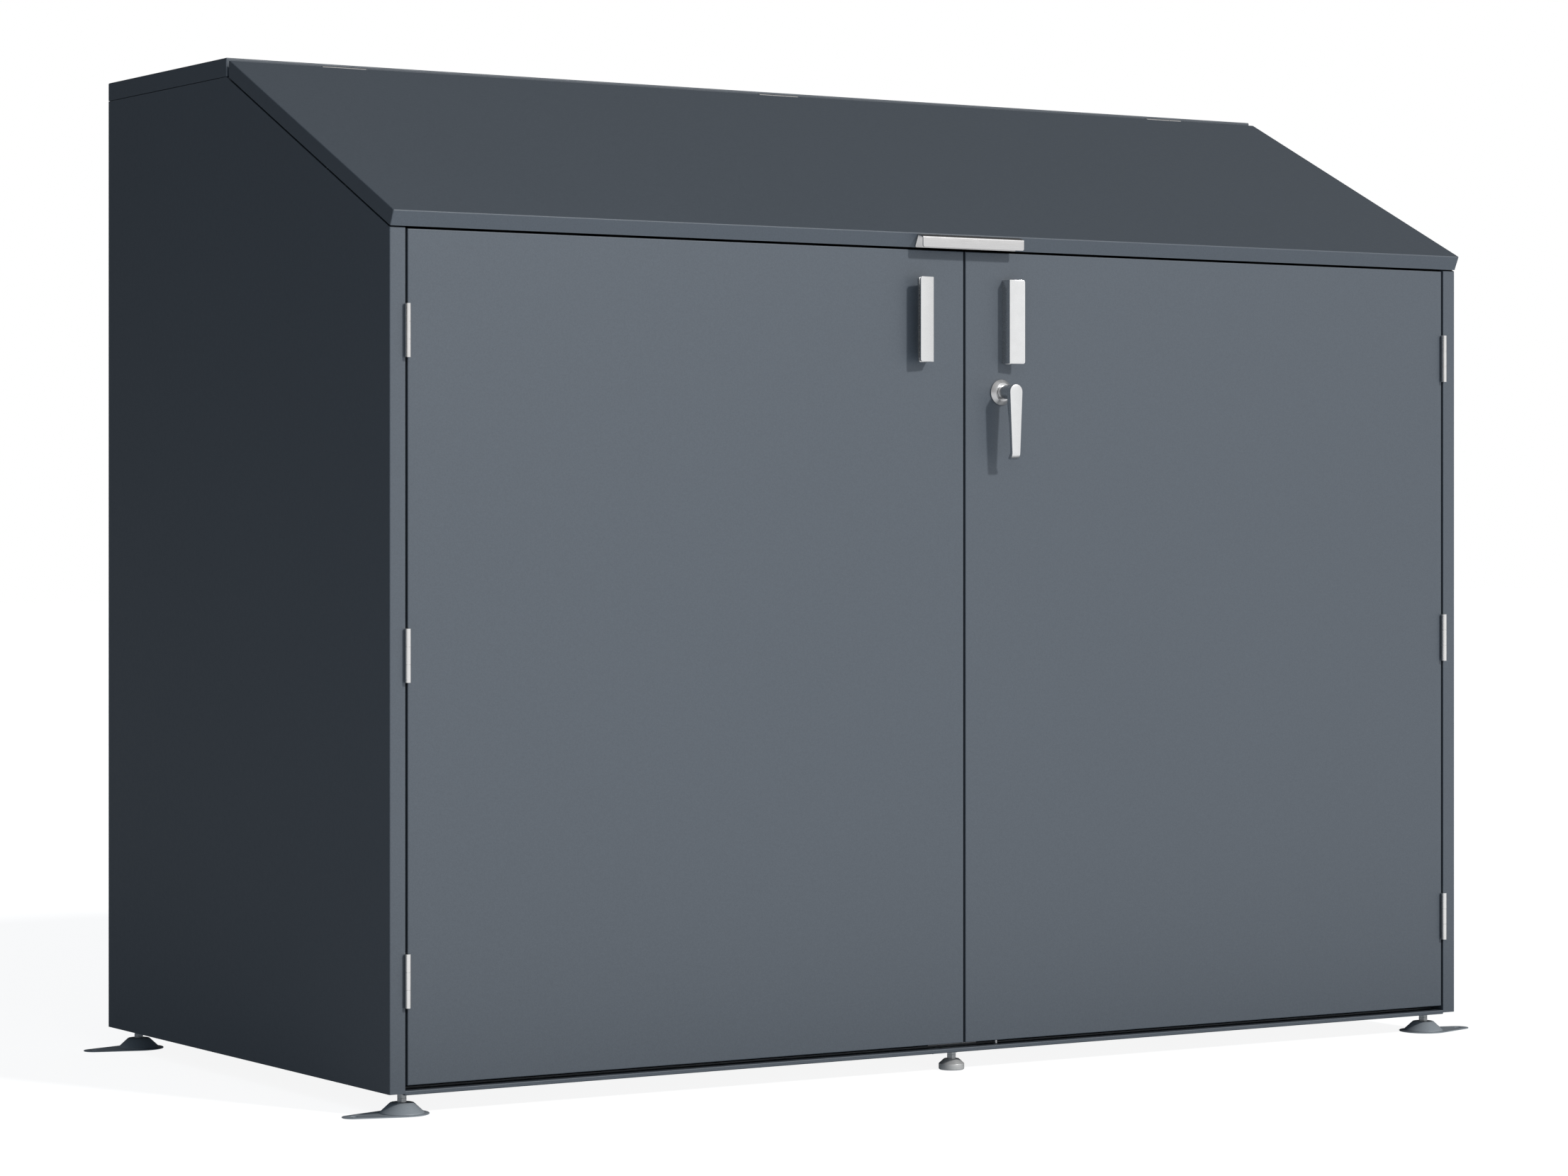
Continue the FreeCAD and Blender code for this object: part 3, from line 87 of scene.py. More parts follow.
class Signal:
    """A shader value that plain expressions can calculate with."""

    def __init__(self, graph: "Graph", socket: bpy.types.NodeSocket) -> None:
        """Wrap an output socket of a graph."""
        self.graph = graph
        self.socket = socket

    def _math(self, operation: str, first: "Value", second: "Value") -> "Signal":
        """Add a Math node and return its result."""
        made = self.graph.node("ShaderNodeMath", {"operation": operation}, {0: first, 1: second})
        return Signal(self.graph, made.outputs[0])

    def __add__(self, other: "Value") -> "Signal":
        """Sum."""
        return self._math("ADD", self, other)

    __radd__ = __add__

    def __sub__(self, other: "Value") -> "Signal":
        """Difference."""
        return self._math("SUBTRACT", self, other)

    def __rsub__(self, other: "Value") -> "Signal":
        """Difference from a value on the left."""
        return self._math("SUBTRACT", other, self)

    def __mul__(self, other: "Value") -> "Signal":
        """Product."""
        return self._math("MULTIPLY", self, other)

    __rmul__ = __mul__

    def ramp(self, low: float, high: float, start: float = 0.0, end: float = 1.0) -> "Signal":
        """Carry a smooth step of this value.

        Args:
            low: The value at which the step begins.
            high: The value at which it ends.
            start: What it gives before the step.
            end: What it gives after it.

        Returns:
            The stepped value.
        """
        made = self.graph.node(
            "ShaderNodeMapRange", {"interpolation_type": "SMOOTHSTEP"},
            {"Value": self, "From Min": low, "From Max": high, "To Min": start, "To Max": end})
        return Signal(self.graph, made.outputs[0])


Value = Signal | float | Sequence[float] | bpy.types.NodeSocket


class Graph:
    """Adds nodes to a tree and joins them."""

    def __init__(self, tree: bpy.types.NodeTree) -> None:
        """Work in a tree of shader or geometry nodes."""
        self.tree = tree

    @classmethod
    def blank(cls, owner: bpy.types.Material | bpy.types.World) -> "Graph":
        """Switch on an owner's shader nodes and start from none.

        Args:
            owner: The material or world.

        Returns:
            Its empty graph.
        """
        owner.use_nodes = True
        owner.node_tree.nodes.clear()
        return cls(owner.node_tree)

    def node(self, kind: str, settings: Mapping[str, object] | None = None,
             sockets: Mapping[str | int, object] | None = None) -> bpy.types.Node:
        """Add one node.

        Args:
            kind: The node's type.
            settings: Properties of the node, set first.
            sockets: Values or links of its inputs, by name or number.

        Returns:
            The node.
        """
        made = self.tree.nodes.new(kind)
        for name, value in (settings or {}).items():
            setattr(made, name, value)
        for key, value in (sockets or {}).items():
            if isinstance(value, Signal):
                value = value.socket
            if isinstance(value, bpy.types.NodeSocket):
                self.tree.links.new(value, made.inputs[key])
            else:
                made.inputs[key].default_value = value
        return made

    def place(self) -> bpy.types.NodeSocket:
        """The point of the surface in the piece's own metres."""
        return self.node("ShaderNodeTexCoord").outputs["Object"]

    def stretched(self, scale: Sequence[float]) -> bpy.types.NodeSocket:
        """The surface point with each axis scaled by itself."""
        made = self.node("ShaderNodeMapping", {}, {"Vector": self.place(), "Scale": scale})
        return made.outputs["Vector"]

    def noise(self, place: bpy.types.NodeSocket, scale: float, detail: float = 2.0,
              roughness: float = 0.5) -> Signal:
        """Add a cloudy value from 0 to 1.

        Args:
            place: The point that it is taken at.
            scale: One over the width of its grains, in metres.
            detail: Layers of finer grains.
            roughness: How much the finer layers count.

        Returns:
            The value.
        """
        made = self.node("ShaderNodeTexNoise", {}, {
            "Vector": place, "Scale": scale, "Detail": detail, "Roughness": roughness})
        return Signal(self, made.outputs["Fac"])

    def shaded(self, colour: Sequence[float], factor: Signal) -> bpy.types.NodeSocket:
        """A colour made lighter or darker by a value."""
        made = self.node("ShaderNodeVectorMath", {"operation": "SCALE"},
                         {0: colour, "Scale": factor})
        return made.outputs["Vector"]

    def bump(self, height: Signal, depth: float) -> bpy.types.NodeSocket:
        """A normal bent by a height that is depth metres at 1."""
        made = self.node("ShaderNodeBump", {}, {"Height": height, "Distance": depth})
        return made.outputs["Normal"]

    def both(self, first: bpy.types.Node, second: bpy.types.Node) -> bpy.types.Node:
        """Two shaders added up."""
        return self.node("ShaderNodeAddShader", {}, {0: first.outputs[0], 1: second.outputs[0]})


@dataclass(frozen=True)
class Finish:
    """What every finish has: a name, a colour and the constants of its shader."""

    name: str
    colour: tuple[float, float, float]
    roughness: float = 0.5
    metallic: float = 0.0
    specular: float = 0.5

    def build(self) -> bpy.types.Material:
        """Make the material.

        Returns:
            A material whose shader has this finish's constants and detail.
        """
        material = bpy.data.materials.new(self.name)
        graph = Graph.blank(material)
        shader = graph.node("ShaderNodeBsdfPrincipled", {}, {
            "Base Color": (*self.colour, 1.0), "Roughness": self.roughness,
            "Metallic": self.metallic, "Specular IOR Level": self.specular})
        graph.node("ShaderNodeOutputMaterial", {}, {"Surface": shader.outputs["BSDF"]})
        for name, socket in self.detail(graph).items():
            material.node_tree.links.new(socket, shader.inputs[name])
        return material

    def detail(self, graph: Graph) -> dict[str, bpy.types.NodeSocket]:
        """The sockets that feed the shader's inputs where the surface varies."""
        return {}


@dataclass(frozen=True)
class PowderCoat(Finish):
    """Fine-textured powder coat: a pimpled skin with faint specks and slow drifts of tone."""

    grain: float = 520.0
    specks: float = 0.5
    pimple: float = 0.00011
    clusters: float = 0.24
    cluster_share: float = 0.4
    gloss_change: float = 0.12
    drift: float = 3.1
    drift_change: float = 0.03

    def detail(self, graph: Graph) -> dict[str, bpy.types.NodeSocket]:
        """Put specks and a slow drift in the colour, pimples in the normal.

        Args:
            graph: The material's graph.

        Returns:
            The sockets for colour, gloss and normal.
        """
        place = graph.place()
        fine = graph.noise(place, self.grain, 3.0, 0.6)
        coarse = graph.noise(place, self.grain * self.clusters)
        drift = graph.noise(place, self.drift, 1.0)
        tone = 1.0 + (fine - MEAN) * self.specks + (drift - MEAN) * self.drift_change
        skin = fine * (1.0 - self.cluster_share) + coarse * self.cluster_share
        return {
            "Base Color": graph.shaded(self.colour, tone),
            "Roughness": (self.roughness + (coarse - MEAN) * self.gloss_change).socket,
            "Normal": graph.bump(skin, self.pimple),
        }


@dataclass(frozen=True)
class Galvanised(Finish):
    """Hot-dipped sheet: flat crystals, each with its own tone, under a fine haze."""

    crystals: float = 95.0
    ragged: float = 0.012
    ragged_grain: float = 60.0
    darkest: float = 0.82
    crystal_change: float = 0.26
    crystal_gloss: float = 0.16
    haze: float = 240.0
    haze_change: float = 0.16
    haze_gloss: float = 0.1
    relief: float = 0.00004

    def detail(self, graph: Graph) -> dict[str, bpy.types.NodeSocket]:
        """Put crystals in tone and gloss, and haze over both.

        Args:
            graph: The material's graph.

        Returns:
            The sockets for colour, gloss and normal.
        """
        place = graph.place()
        shift = graph.shaded((self.ragged,) * 3, graph.noise(place, self.ragged_grain))
        warped = graph.node("ShaderNodeVectorMath", {"operation": "ADD"}, {0: place, 1: shift})
        cells = graph.node("ShaderNodeTexVoronoi", {"feature": "F1"}, {
            "Vector": warped.outputs["Vector"], "Scale": self.crystals, "Randomness": 1.0})
        split = graph.node("ShaderNodeSeparateColor", {}, {"Color": cells.outputs["Color"]})
        crystal = Signal(graph, split.outputs[0])
        haze = graph.noise(place, self.haze, 3.0)
        tone = self.darkest + crystal * self.crystal_change + (haze - MEAN) * self.haze_change
        gloss = (crystal - MEAN) * self.crystal_gloss + (haze - MEAN) * self.haze_gloss
        return {
            "Base Color": graph.shaded(self.colour, tone),
            "Roughness": (self.roughness + gloss).socket,
            "Normal": graph.bump(haze, self.relief),
        }


@dataclass(frozen=True)
class BrushedMetal(Finish):
    """Bare metal with fine lines, closest together across the way it was brushed."""

    lines: tuple[float, float, float] = (1600.0, 1600.0, 60.0)
    contrast: float = 0.12
    relief: float = 0.00001
    clouds: float = 70.0
    cloud_change: float = 0.05
    cloud_gloss: float = 0.06

    def detail(self, graph: Graph) -> dict[str, bpy.types.NodeSocket]:
        """Put drawn lines in tone, gloss and normal, and faint clouds under them.

        Args:
            graph: The material's graph.

        Returns:
            The sockets for colour, gloss and normal.
        """
        streaks = graph.noise(graph.stretched(self.lines), 1.0, 3.0, 0.6)
        cloud = graph.noise(graph.place(), self.clouds)
        drawn = (streaks - MEAN) * self.contrast
        return {
            "Base Color": graph.shaded(
                self.colour, 1.0 + drawn + (cloud - MEAN) * self.cloud_change),
            "Roughness": (self.roughness + drawn + (cloud - MEAN) * self.cloud_gloss).socket,
            "Normal": graph.bump(streaks, self.relief),
        }


@dataclass(frozen=True)
class SatinPaint(Finish):
    """Smooth paint or rubber with a faint orange peel and dusty specks."""

    peel: float = 180.0
    depth: float = 0.00006
    peel_gloss: float = 0.1
    dust: float = 900.0
    dust_change: float = 0.3

    def detail(self, graph: Graph) -> dict[str, bpy.types.NodeSocket]:
        """Put orange peel in gloss and normal, and dust in the colour.

        Args:
            graph: The material's graph.

        Returns:
            The sockets for colour, gloss and normal.
        """
        place = graph.place()
        peel = graph.noise(place, self.peel, 1.5)
        dust = graph.noise(place, self.dust)
        return {
            "Base Color": graph.shaded(self.colour, 1.0 + (dust - MEAN) * self.dust_change),
            "Roughness": (self.roughness + (peel - MEAN) * self.peel_gloss).socket,
            "Normal": graph.bump(peel, self.depth),
        }


class Palette(Enum):
    """Every finish of the locker."""

    ANTHRACITE = PowderCoat(
        "anthracite_powder_coat", (0.087, 0.103, 0.122), roughness=0.45, specular=0.62)
    # A lighter grey than the casing's coat, for feet painted like the casing: painted light for
    # the light that the feet lack in the casing's shade.
    FOOT_GREY = SatinPaint(
        "foot_grey_paint", (0.335, 0.365, 0.39), roughness=0.42, specular=0.45, peel=260.0)
    BLACK_STEEL = SatinPaint("black_satin_paint", (0.012, 0.013, 0.014), roughness=0.38)
    ZINC = Galvanised("galvanised_sheet", (0.46, 0.475, 0.49), roughness=0.42, metallic=0.85)
    TURNED_STEEL = BrushedMetal(
        "turned_stainless", (0.74, 0.73, 0.71), roughness=0.40, metallic=0.4,
        lines=(90.0, 90.0, 1800.0), contrast=0.35)
    # Blasted stainless made darker than the bright stainless: partly the blasted finish, partly
    # painted shade for the dark surroundings that the rosette mirrors.
    BLASTED_STEEL_AND_PAINTED_SHADE = BrushedMetal(
        "blasted_stainless_and_painted_shade", (0.52, 0.523, 0.53), roughness=0.34, metallic=1.0,
        lines=(800.0, 800.0, 800.0), contrast=0.16, relief=0.000005)
    DRAWN_ALUMINIUM = BrushedMetal(
        "drawn_aluminium", (0.6, 0.595, 0.595), roughness=0.25, metallic=1.0,
        lines=(40.0, 1700.0, 1700.0), contrast=0.2)
    BRIGHT_STEEL = BrushedMetal(
        "bright_stainless", (0.74, 0.735, 0.73), roughness=0.22, metallic=1.0,
        lines=(1500.0, 1500.0, 120.0), contrast=0.08)
    GROUND_ROD = BrushedMetal(
        "ground_bright_rod", (0.76, 0.76, 0.77), roughness=0.13, metallic=1.0,
        lines=(300.0, 2200.0, 2200.0), contrast=0.05)
    SATIN_ALUMINIUM = BrushedMetal(
        "satin_anodised_aluminium", (0.71, 0.715, 0.72), roughness=0.27, metallic=1.0,
        lines=(900.0, 900.0, 900.0), contrast=0.05, relief=0.000004)
    # Zinc plate lighter than plated steel is: partly the plate's own brightness, partly painted
    # light for the light that the nuts lack under the casing.
    PLATED_STEEL = BrushedMetal(
        "zinc_plated_steel", (0.89, 0.88, 0.86), roughness=0.36, metallic=0.3,
        lines=(700.0, 700.0, 300.0), contrast=0.14)
    RUBBER = SatinPaint(
        "black_rubber", (0.022, 0.022, 0.023), roughness=0.75, specular=0.4, peel=420.0,
        depth=0.00012)


class Finishes:
    """Makes each finish of the palette once and hands it out."""

    made: dict[Palette, bpy.types.Material] = {}
    by_slot: dict[Slot, Palette] = {
        Slot.PAINTED: Palette.ANTHRACITE, Slot.BLACK: Palette.BLACK_STEEL,
        Slot.GALVANISED: Palette.ZINC, Slot.STAINLESS: Palette.BRIGHT_STEEL,
        Slot.ALUMINIUM: Palette.SATIN_ALUMINIUM, Slot.RUBBER: Palette.RUBBER}

    @classmethod
    def get(cls, entry: Palette) -> bpy.types.Material:
        """The material of a palette entry."""
        if entry not in cls.made:
            cls.made[entry] = entry.value.build()
        return cls.made[entry]


Ring = tuple[float | Callable[[float], float], float | Callable[[float], float]]
Section = tuple[tuple[float, float], tuple[float, float], float]


def rounded(corners: Sequence[Sequence[float]], radii: Sequence[float],
            steps: int = 5) -> list[tuple[float, float]]:
    """Replace the inner corners of an open line by arcs.

    Args:
        corners: The line's points.
        radii: One radius for each inner corner. A corner of radius 0 stays a point.
        steps: Segments of each arc.

    Returns:
        The points of the rounded line.
    """
    points = [Vector(corner) for corner in corners]
    line = [tuple(points[0])]
    for before, here, after, radius in zip(points, points[1:], points[2:], radii):
        if radius == 0:
            line.append(tuple(here))
            continue
        arrive = (before - here).normalized()
        leave = (after - here).normalized()
        half = arrive.angle(leave) / 2
        centre = here + (arrive + leave).normalized() * (radius / math.sin(half))
        start = here + arrive * (radius / math.tan(half)) - centre
        end = here + leave * (radius / math.tan(half)) - centre
        turn = start.angle_signed(end)
        for step in range(steps + 1):
            angle = -turn * step / steps
            cosine, sine = math.cos(angle), math.sin(angle)
            line.append((centre.x + start.x * cosine - start.y * sine,
                         centre.y + start.x * sine + start.y * cosine))
    line.append(tuple(points[-1]))
    return line


def set_back(distance: float, radius: float) -> float:
    """How far a rounded corner stands back at a distance from the end."""
    inside = radius - min(distance, radius)
    return radius - math.sqrt(radius ** 2 - inside ** 2)


def stations(start: float, end: float, radius: float, steps: int = 6) -> list[tuple[float, float]]:
    """Find the places of a bar's sections, closer together where its ends are rounded.

    Args:
        start: Where the bar begins.
        end: Where it ends.
        radius: Radius of its corners at both ends.
        steps: Sections round each corner, less one.

    Returns:
        Each place and its distance from the nearer end.
    """
    turns = [math.pi / 2 * step / steps for step in range(steps + 1)]
    near_end = [radius * (1 - math.cos(turn)) for turn in turns]
    places = [(start + inwards, inwards) for inwards in near_end]
    return places + [(end - inwards, inwards) for inwards in reversed(near_end)]


def linked(name: str, data: bpy.types.ID) -> bpy.types.Object:
    """Make an object in the scene's collection.

    Args:
        name: Its name.
        data: Its mesh, lamp or camera.

    Returns:
        The object.
    """
    made = bpy.data.objects.new(name, data)
    bpy.context.scene.collection.objects.link(made)
    return made


class Draft:
    """A mesh that is drafted from rings of points in millimetres."""

    SHARP = math.radians(32)

    def __init__(self) -> None:
        """Start with an empty mesh."""
        self.mesh = bmesh.new()

    def shell(self, rings: Sequence[Sequence[Sequence[float]]], closed: bool = False,
              strips: bool = False) -> "Draft":
        """Join rings of points into one closed shell.

        Args:
            rings: Rings that have as many points each.
            closed: Whether the last ring joins the first, instead of two caps.
            strips: Whether the caps are strips of quads between the ring's two halves.

        Returns:
            This draft.
        """
        made = [[self.mesh.verts.new(Vector(point) * MM) for point in ring] for ring in rings]
        count = len(made[0])
        pairs = list(zip(made, made[1:]))
        if closed:
            pairs.append((made[-1], made[0]))
        for first, second in pairs:
            for index in range(count):
                after = (index + 1) % count
                self.mesh.faces.new((first[index], first[after], second[after], second[index]))
        if not closed:
            for ring in (made[0][::-1], made[-1]):
                if strips:
                    for index in range(count // 2 - 1):
                        self.mesh.faces.new((ring[index], ring[index + 1],
                                             ring[count - 2 - index], ring[count - 1 - index]))
                else:
                    self.mesh.faces.new(ring)
        return self

    def turned(self, rings: Sequence[Ring], steps: int = 48, closed: bool = True) -> "Draft":
        """Turn a profile about the Z axis.

        Args:
            rings: Radius and height of each ring, as numbers or as functions of the angle.
            steps: Segments round the axis.
            closed: Whether the profile closes on itself, as round a bore.

        Returns:
            This draft.
        """
        placed = []
        for radius, height in rings:
            ring = []
            for step in range(steps):
                angle = 2 * math.pi * step / steps
                r = radius(angle) if callable(radius) else radius
                z = height(angle) if callable(height) else height
                ring.append((r * math.cos(angle), r * math.sin(angle), z))
            placed.append(ring)
        return self.shell(placed, closed)

    def move(self, facing: Facing, x: float, y: float, z: float) -> "Draft":
        """Turn what is drafted and move it to a place in millimetres."""
        self.mesh.transform(Matrix.Translation(Vector((x, y, z)) * MM) @ facing.value)
        return self

    def add(self, other: "Draft") -> "Draft":
        """Take over the shells of another draft.

        Args:
            other: That draft, which is used up.

        Returns:
            This draft.
        """
        spare = bpy.data.meshes.new("spare")
        other.mesh.to_mesh(spare)
        other.mesh.free()
        self.mesh.from_mesh(spare)
        bpy.data.meshes.remove(spare)
        return self

    def done(self, name: str, finish: Palette, bevel: float = 0.0,
             segments: int = 2) -> bpy.types.Object:
        """Turn the draft into an object.

        Args:
            name: The object's name.
            finish: Its finish.
            bevel: Width of the bevel on its sharp edges, in millimetres.
            segments: Segments of the bevel.

        Returns:
            The object, linked to the scene, with its modifiers applied.
        """
        bmesh.ops.recalc_face_normals(self.mesh, faces=self.mesh.faces[:])
        data = bpy.data.meshes.new(name)
        self.mesh.to_mesh(data)
        self.mesh.free()
        made = linked(name, data)
        data.materials.append(Finishes.get(finish))
        if bevel:
            edge = made.modifiers.new("Edges", "BEVEL")
            edge.width = bevel * MM
            edge.segments = segments
            edge.limit_method = "ANGLE"
            edge.angle_limit = self.SHARP
            edge.miter_outer = "MITER_ARC"
            settle(made)
        smooth(made.data, self.SHARP)
        return made


def settle(piece: bpy.types.Object) -> None:
    """Replace a piece's mesh by what its modifiers make of it, and drop them.

    Args:
        piece: The piece.
    """
    bpy.context.view_layer.update()
    seen = piece.evaluated_get(bpy.context.evaluated_depsgraph_get())
    data = bpy.data.meshes.new_from_object(seen)
    piece.modifiers.clear()
    old = piece.data
    piece.data = data
    data.name = piece.name
    bpy.data.meshes.remove(old)


def smooth(data: bpy.types.Mesh, sharp: float) -> None:
    """Shade a mesh smooth and keep its sharp edges crisp.

    Args:
        data: The mesh.
        sharp: The angle from which an edge is sharp.
    """
    work = bmesh.new()
    work.from_mesh(data)
    for face in work.faces:
        face.smooth = True
    for edge in work.edges:
        edge.smooth = len(edge.link_faces) != 2 or edge.calc_face_angle(math.pi) < sharp
    work.to_mesh(data)
    work.free()


class NodeTool:
    """A Geometry Nodes tree with named inputs, run on a mesh to make a plain one."""

    def __init__(self, name: str, inputs: Mapping[str, str]) -> None:
        """Start a tree with one geometry input, the named ones and a finish.

        Args:
            name: The tree's name.
            inputs: The socket type of each named input.
        """
        self.tree = bpy.data.node_groups.new(name, "GeometryNodeTree")
        self.graph = Graph(self.tree)
        faces = self.tree.interface
        faces.new_socket(name="Geometry", in_out="INPUT", socket_type="NodeSocketGeometry")
        for label, kind in {**inputs, "Finish": "NodeSocketMaterial"}.items():
            faces.new_socket(name=label, in_out="INPUT", socket_type=kind)
        faces.new_socket(name="Geometry", in_out="OUTPUT", socket_type="NodeSocketGeometry")
        self.given = self.graph.node("NodeGroupInput").outputs

    def end(self, geometry: bpy.types.NodeSocket) -> None:
        """Close the tree: instances made real, the finish set.

        Args:
            geometry: What the tree has made.
        """
        real = self.graph.node("GeometryNodeRealizeInstances", {}, {"Geometry": geometry})
        coated = self.graph.node("GeometryNodeSetMaterial", {}, {
            "Geometry": real.outputs[0], "Material": self.given["Finish"]})
        self.graph.node("NodeGroupOutput", {}, {"Geometry": coated.outputs[0]})

    def run(self, piece: bpy.types.Object, values: Mapping[str, object],
            finish: Palette) -> bpy.types.Object:
        """Run the tree on a piece and keep the result as its mesh.

        Args:
            piece: The object that holds the prototype.
            values: The named inputs.
            finish: The finish that the tree sets.

        Returns:
            The same object.
        """
        modifier = piece.modifiers.new(self.tree.name, "NODES")
        modifier.node_group = self.tree
        keys = {item.name: item.identifier for item in self.tree.interface.items_tree
                if item.item_type == "SOCKET" and item.in_out == "INPUT"}
        for name, value in {**values, "Finish": Finishes.get(finish)}.items():
            modifier[keys[name]] = value
        settle(piece)
        return piece


class Lattice(NodeTool):
    """Copies a prototype over columns, rows and layers."""

    STAGES = ("Column", "Row", "Layer")

    def __init__(self) -> None:
        """Build the tree: three nested lines of copies."""
        inputs = {}
        for stage in self.STAGES:
            inputs[stage + " Count"] = "NodeSocketInt"
            inputs[stage + " Step"] = "NodeSocketVector"
        super().__init__("lattice", inputs)
        geometry = self.given["Geometry"]
        for stage in self.STAGES:
            line = self.graph.node("GeometryNodeMeshLine", {"mode": "OFFSET"}, {
                "Count": self.given[stage + " Count"], "Offset": self.given[stage + " Step"]})
            copies = self.graph.node("GeometryNodeInstanceOnPoints", {}, {
                "Points": line.outputs[0], "Instance": geometry})
            geometry = copies.outputs[0]
        self.end(geometry)

    def spread(self, piece: bpy.types.Object, finish: Palette,
               **stages: tuple[int, Sequence[float]]) -> bpy.types.Object:
        """Copy a piece in lines.

        Args:
            piece: The prototype, standing at the first place.
            finish: Its finish.
            **stages: For column, row and layer the number of copies and the step in millimetres.

        Returns:
            The piece with all of its copies.
        """
        values: dict[str, object] = {}
        for stage in self.STAGES:
            count, step = stages.get(stage.lower(), (1, (0.0, 0.0, 0.0)))
            values[stage + " Count"] = count
            values[stage + " Step"] = [part * MM for part in step]
        return self.run(piece, values, finish)


class Thread(NodeTool):
    """A threaded bar: a core with a helical ridge round it."""

    DEPTH = 0.36  # of the thread, in pitches
    OVERLAP = 0.1  # of the ridge and the core, in depths
    TURN_STEPS = 20
    RIDGE_CORNERS = 4
    CORE_SIDES = 24

    def __init__(self) -> None:
        """Build the tree: a spiral swept with a small square, round a cylinder."""
        super().__init__("thread", {
            "Radius": "NodeSocketFloat", "Pitch": "NodeSocketFloat",
            "Length": "NodeSocketFloat", "Turns": "NodeSocketFloat"})
        graph = self.graph
        radius = self.given["Radius"]
        depth = self._scaled(self.given["Pitch"], self.DEPTH)
        core = self._minus(radius, depth)
        spiral = graph.node("GeometryNodeCurveSpiral", {}, {
            "Resolution": self.TURN_STEPS, "Rotations": self.given["Turns"], "Start Radius": core,
            "End Radius": core, "Height": self.given["Length"]})
        profile = graph.node("GeometryNodeCurvePrimitiveCircle", {"mode": "RADIUS"}, {
            "Resolution": self.RIDGE_CORNERS, "Radius": depth})
        ridge = graph.node("GeometryNodeCurveToMesh", {}, {
            "Curve": spiral.outputs[0], "Profile Curve": profile.outputs[0], "Fill Caps": True})
        bar = graph.node("GeometryNodeMeshCylinder", {"fill_type": "NGON"}, {
            "Vertices": self.CORE_SIDES, "Depth": self.given["Length"],
            "Radius": self._minus(core, self._scaled(depth, self.OVERLAP))})
        middle = graph.node("ShaderNodeCombineXYZ", {}, {
            "Z": self._scaled(self.given["Length"], 0.5)})
        raised = graph.node("GeometryNodeTransform", {}, {
            "Geometry": bar.outputs[0], "Translation": middle.outputs[0]})
        joined = graph.node("GeometryNodeJoinGeometry")
        for part in (ridge, raised):
            self.tree.links.new(part.outputs[0], joined.inputs[0])
        self.end(joined.outputs[0])

    def _scaled(self, socket: bpy.types.NodeSocket, factor: float) -> bpy.types.NodeSocket:
        """A length times a number."""
        return self.graph.node("ShaderNodeMath", {"operation": "MULTIPLY"},
                               {0: socket, 1: factor}).outputs[0]

    def _minus(self, first: bpy.types.NodeSocket,
               second: bpy.types.NodeSocket) -> bpy.types.NodeSocket:
        """One length less another."""
        return self.graph.node("ShaderNodeMath", {"operation": "SUBTRACT"},
                               {0: first, 1: second}).outputs[0]


@dataclass
class Tools:
    """The Geometry Nodes trees that the sub-assemblies share."""

    lattice: Lattice = field(default_factory=Lattice)
    thread: Thread = field(default_factory=Thread)


def corners(node: str) -> tuple[Vector, Vector]:
    """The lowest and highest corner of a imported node, in millimetres."""
    low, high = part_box(node)
    return low / MM, high / MM


def deliver(piece: bpy.types.Object, body: str, slot: Slot, *nodes: str) -> None:
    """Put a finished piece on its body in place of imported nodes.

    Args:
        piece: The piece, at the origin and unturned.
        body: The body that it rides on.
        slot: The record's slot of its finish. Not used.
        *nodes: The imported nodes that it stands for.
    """
    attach(piece, body)
    if nodes:
        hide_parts(*nodes)
    LOG.info("%s: %d faces on %s", piece.name, len(piece.data.polygons), body)


@dataclass
class Sheetwork:
    """The folded sheet and inner fittings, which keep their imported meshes."""

    special: Mapping[str, Palette] = field(default_factory=lambda: {
        "left_strut_rod": Palette.GROUND_ROD, "right_strut_rod": Palette.GROUND_ROD,
        "upper_lock_rod": Palette.GROUND_ROD, "lower_lock_rod": Palette.GROUND_ROD})

    def dress(self) -> None:
        """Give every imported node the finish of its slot, or one of its own."""
        for name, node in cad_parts.items():
            slot = Slot(node.material_slots[0].material.name.split(".")[0])
            finish = self.special.get(name, Finishes.by_slot[slot])
            for place in node.material_slots:
                place.material = Finishes.get(finish)
            LOG.info("%s: %s", name, finish.name.lower())


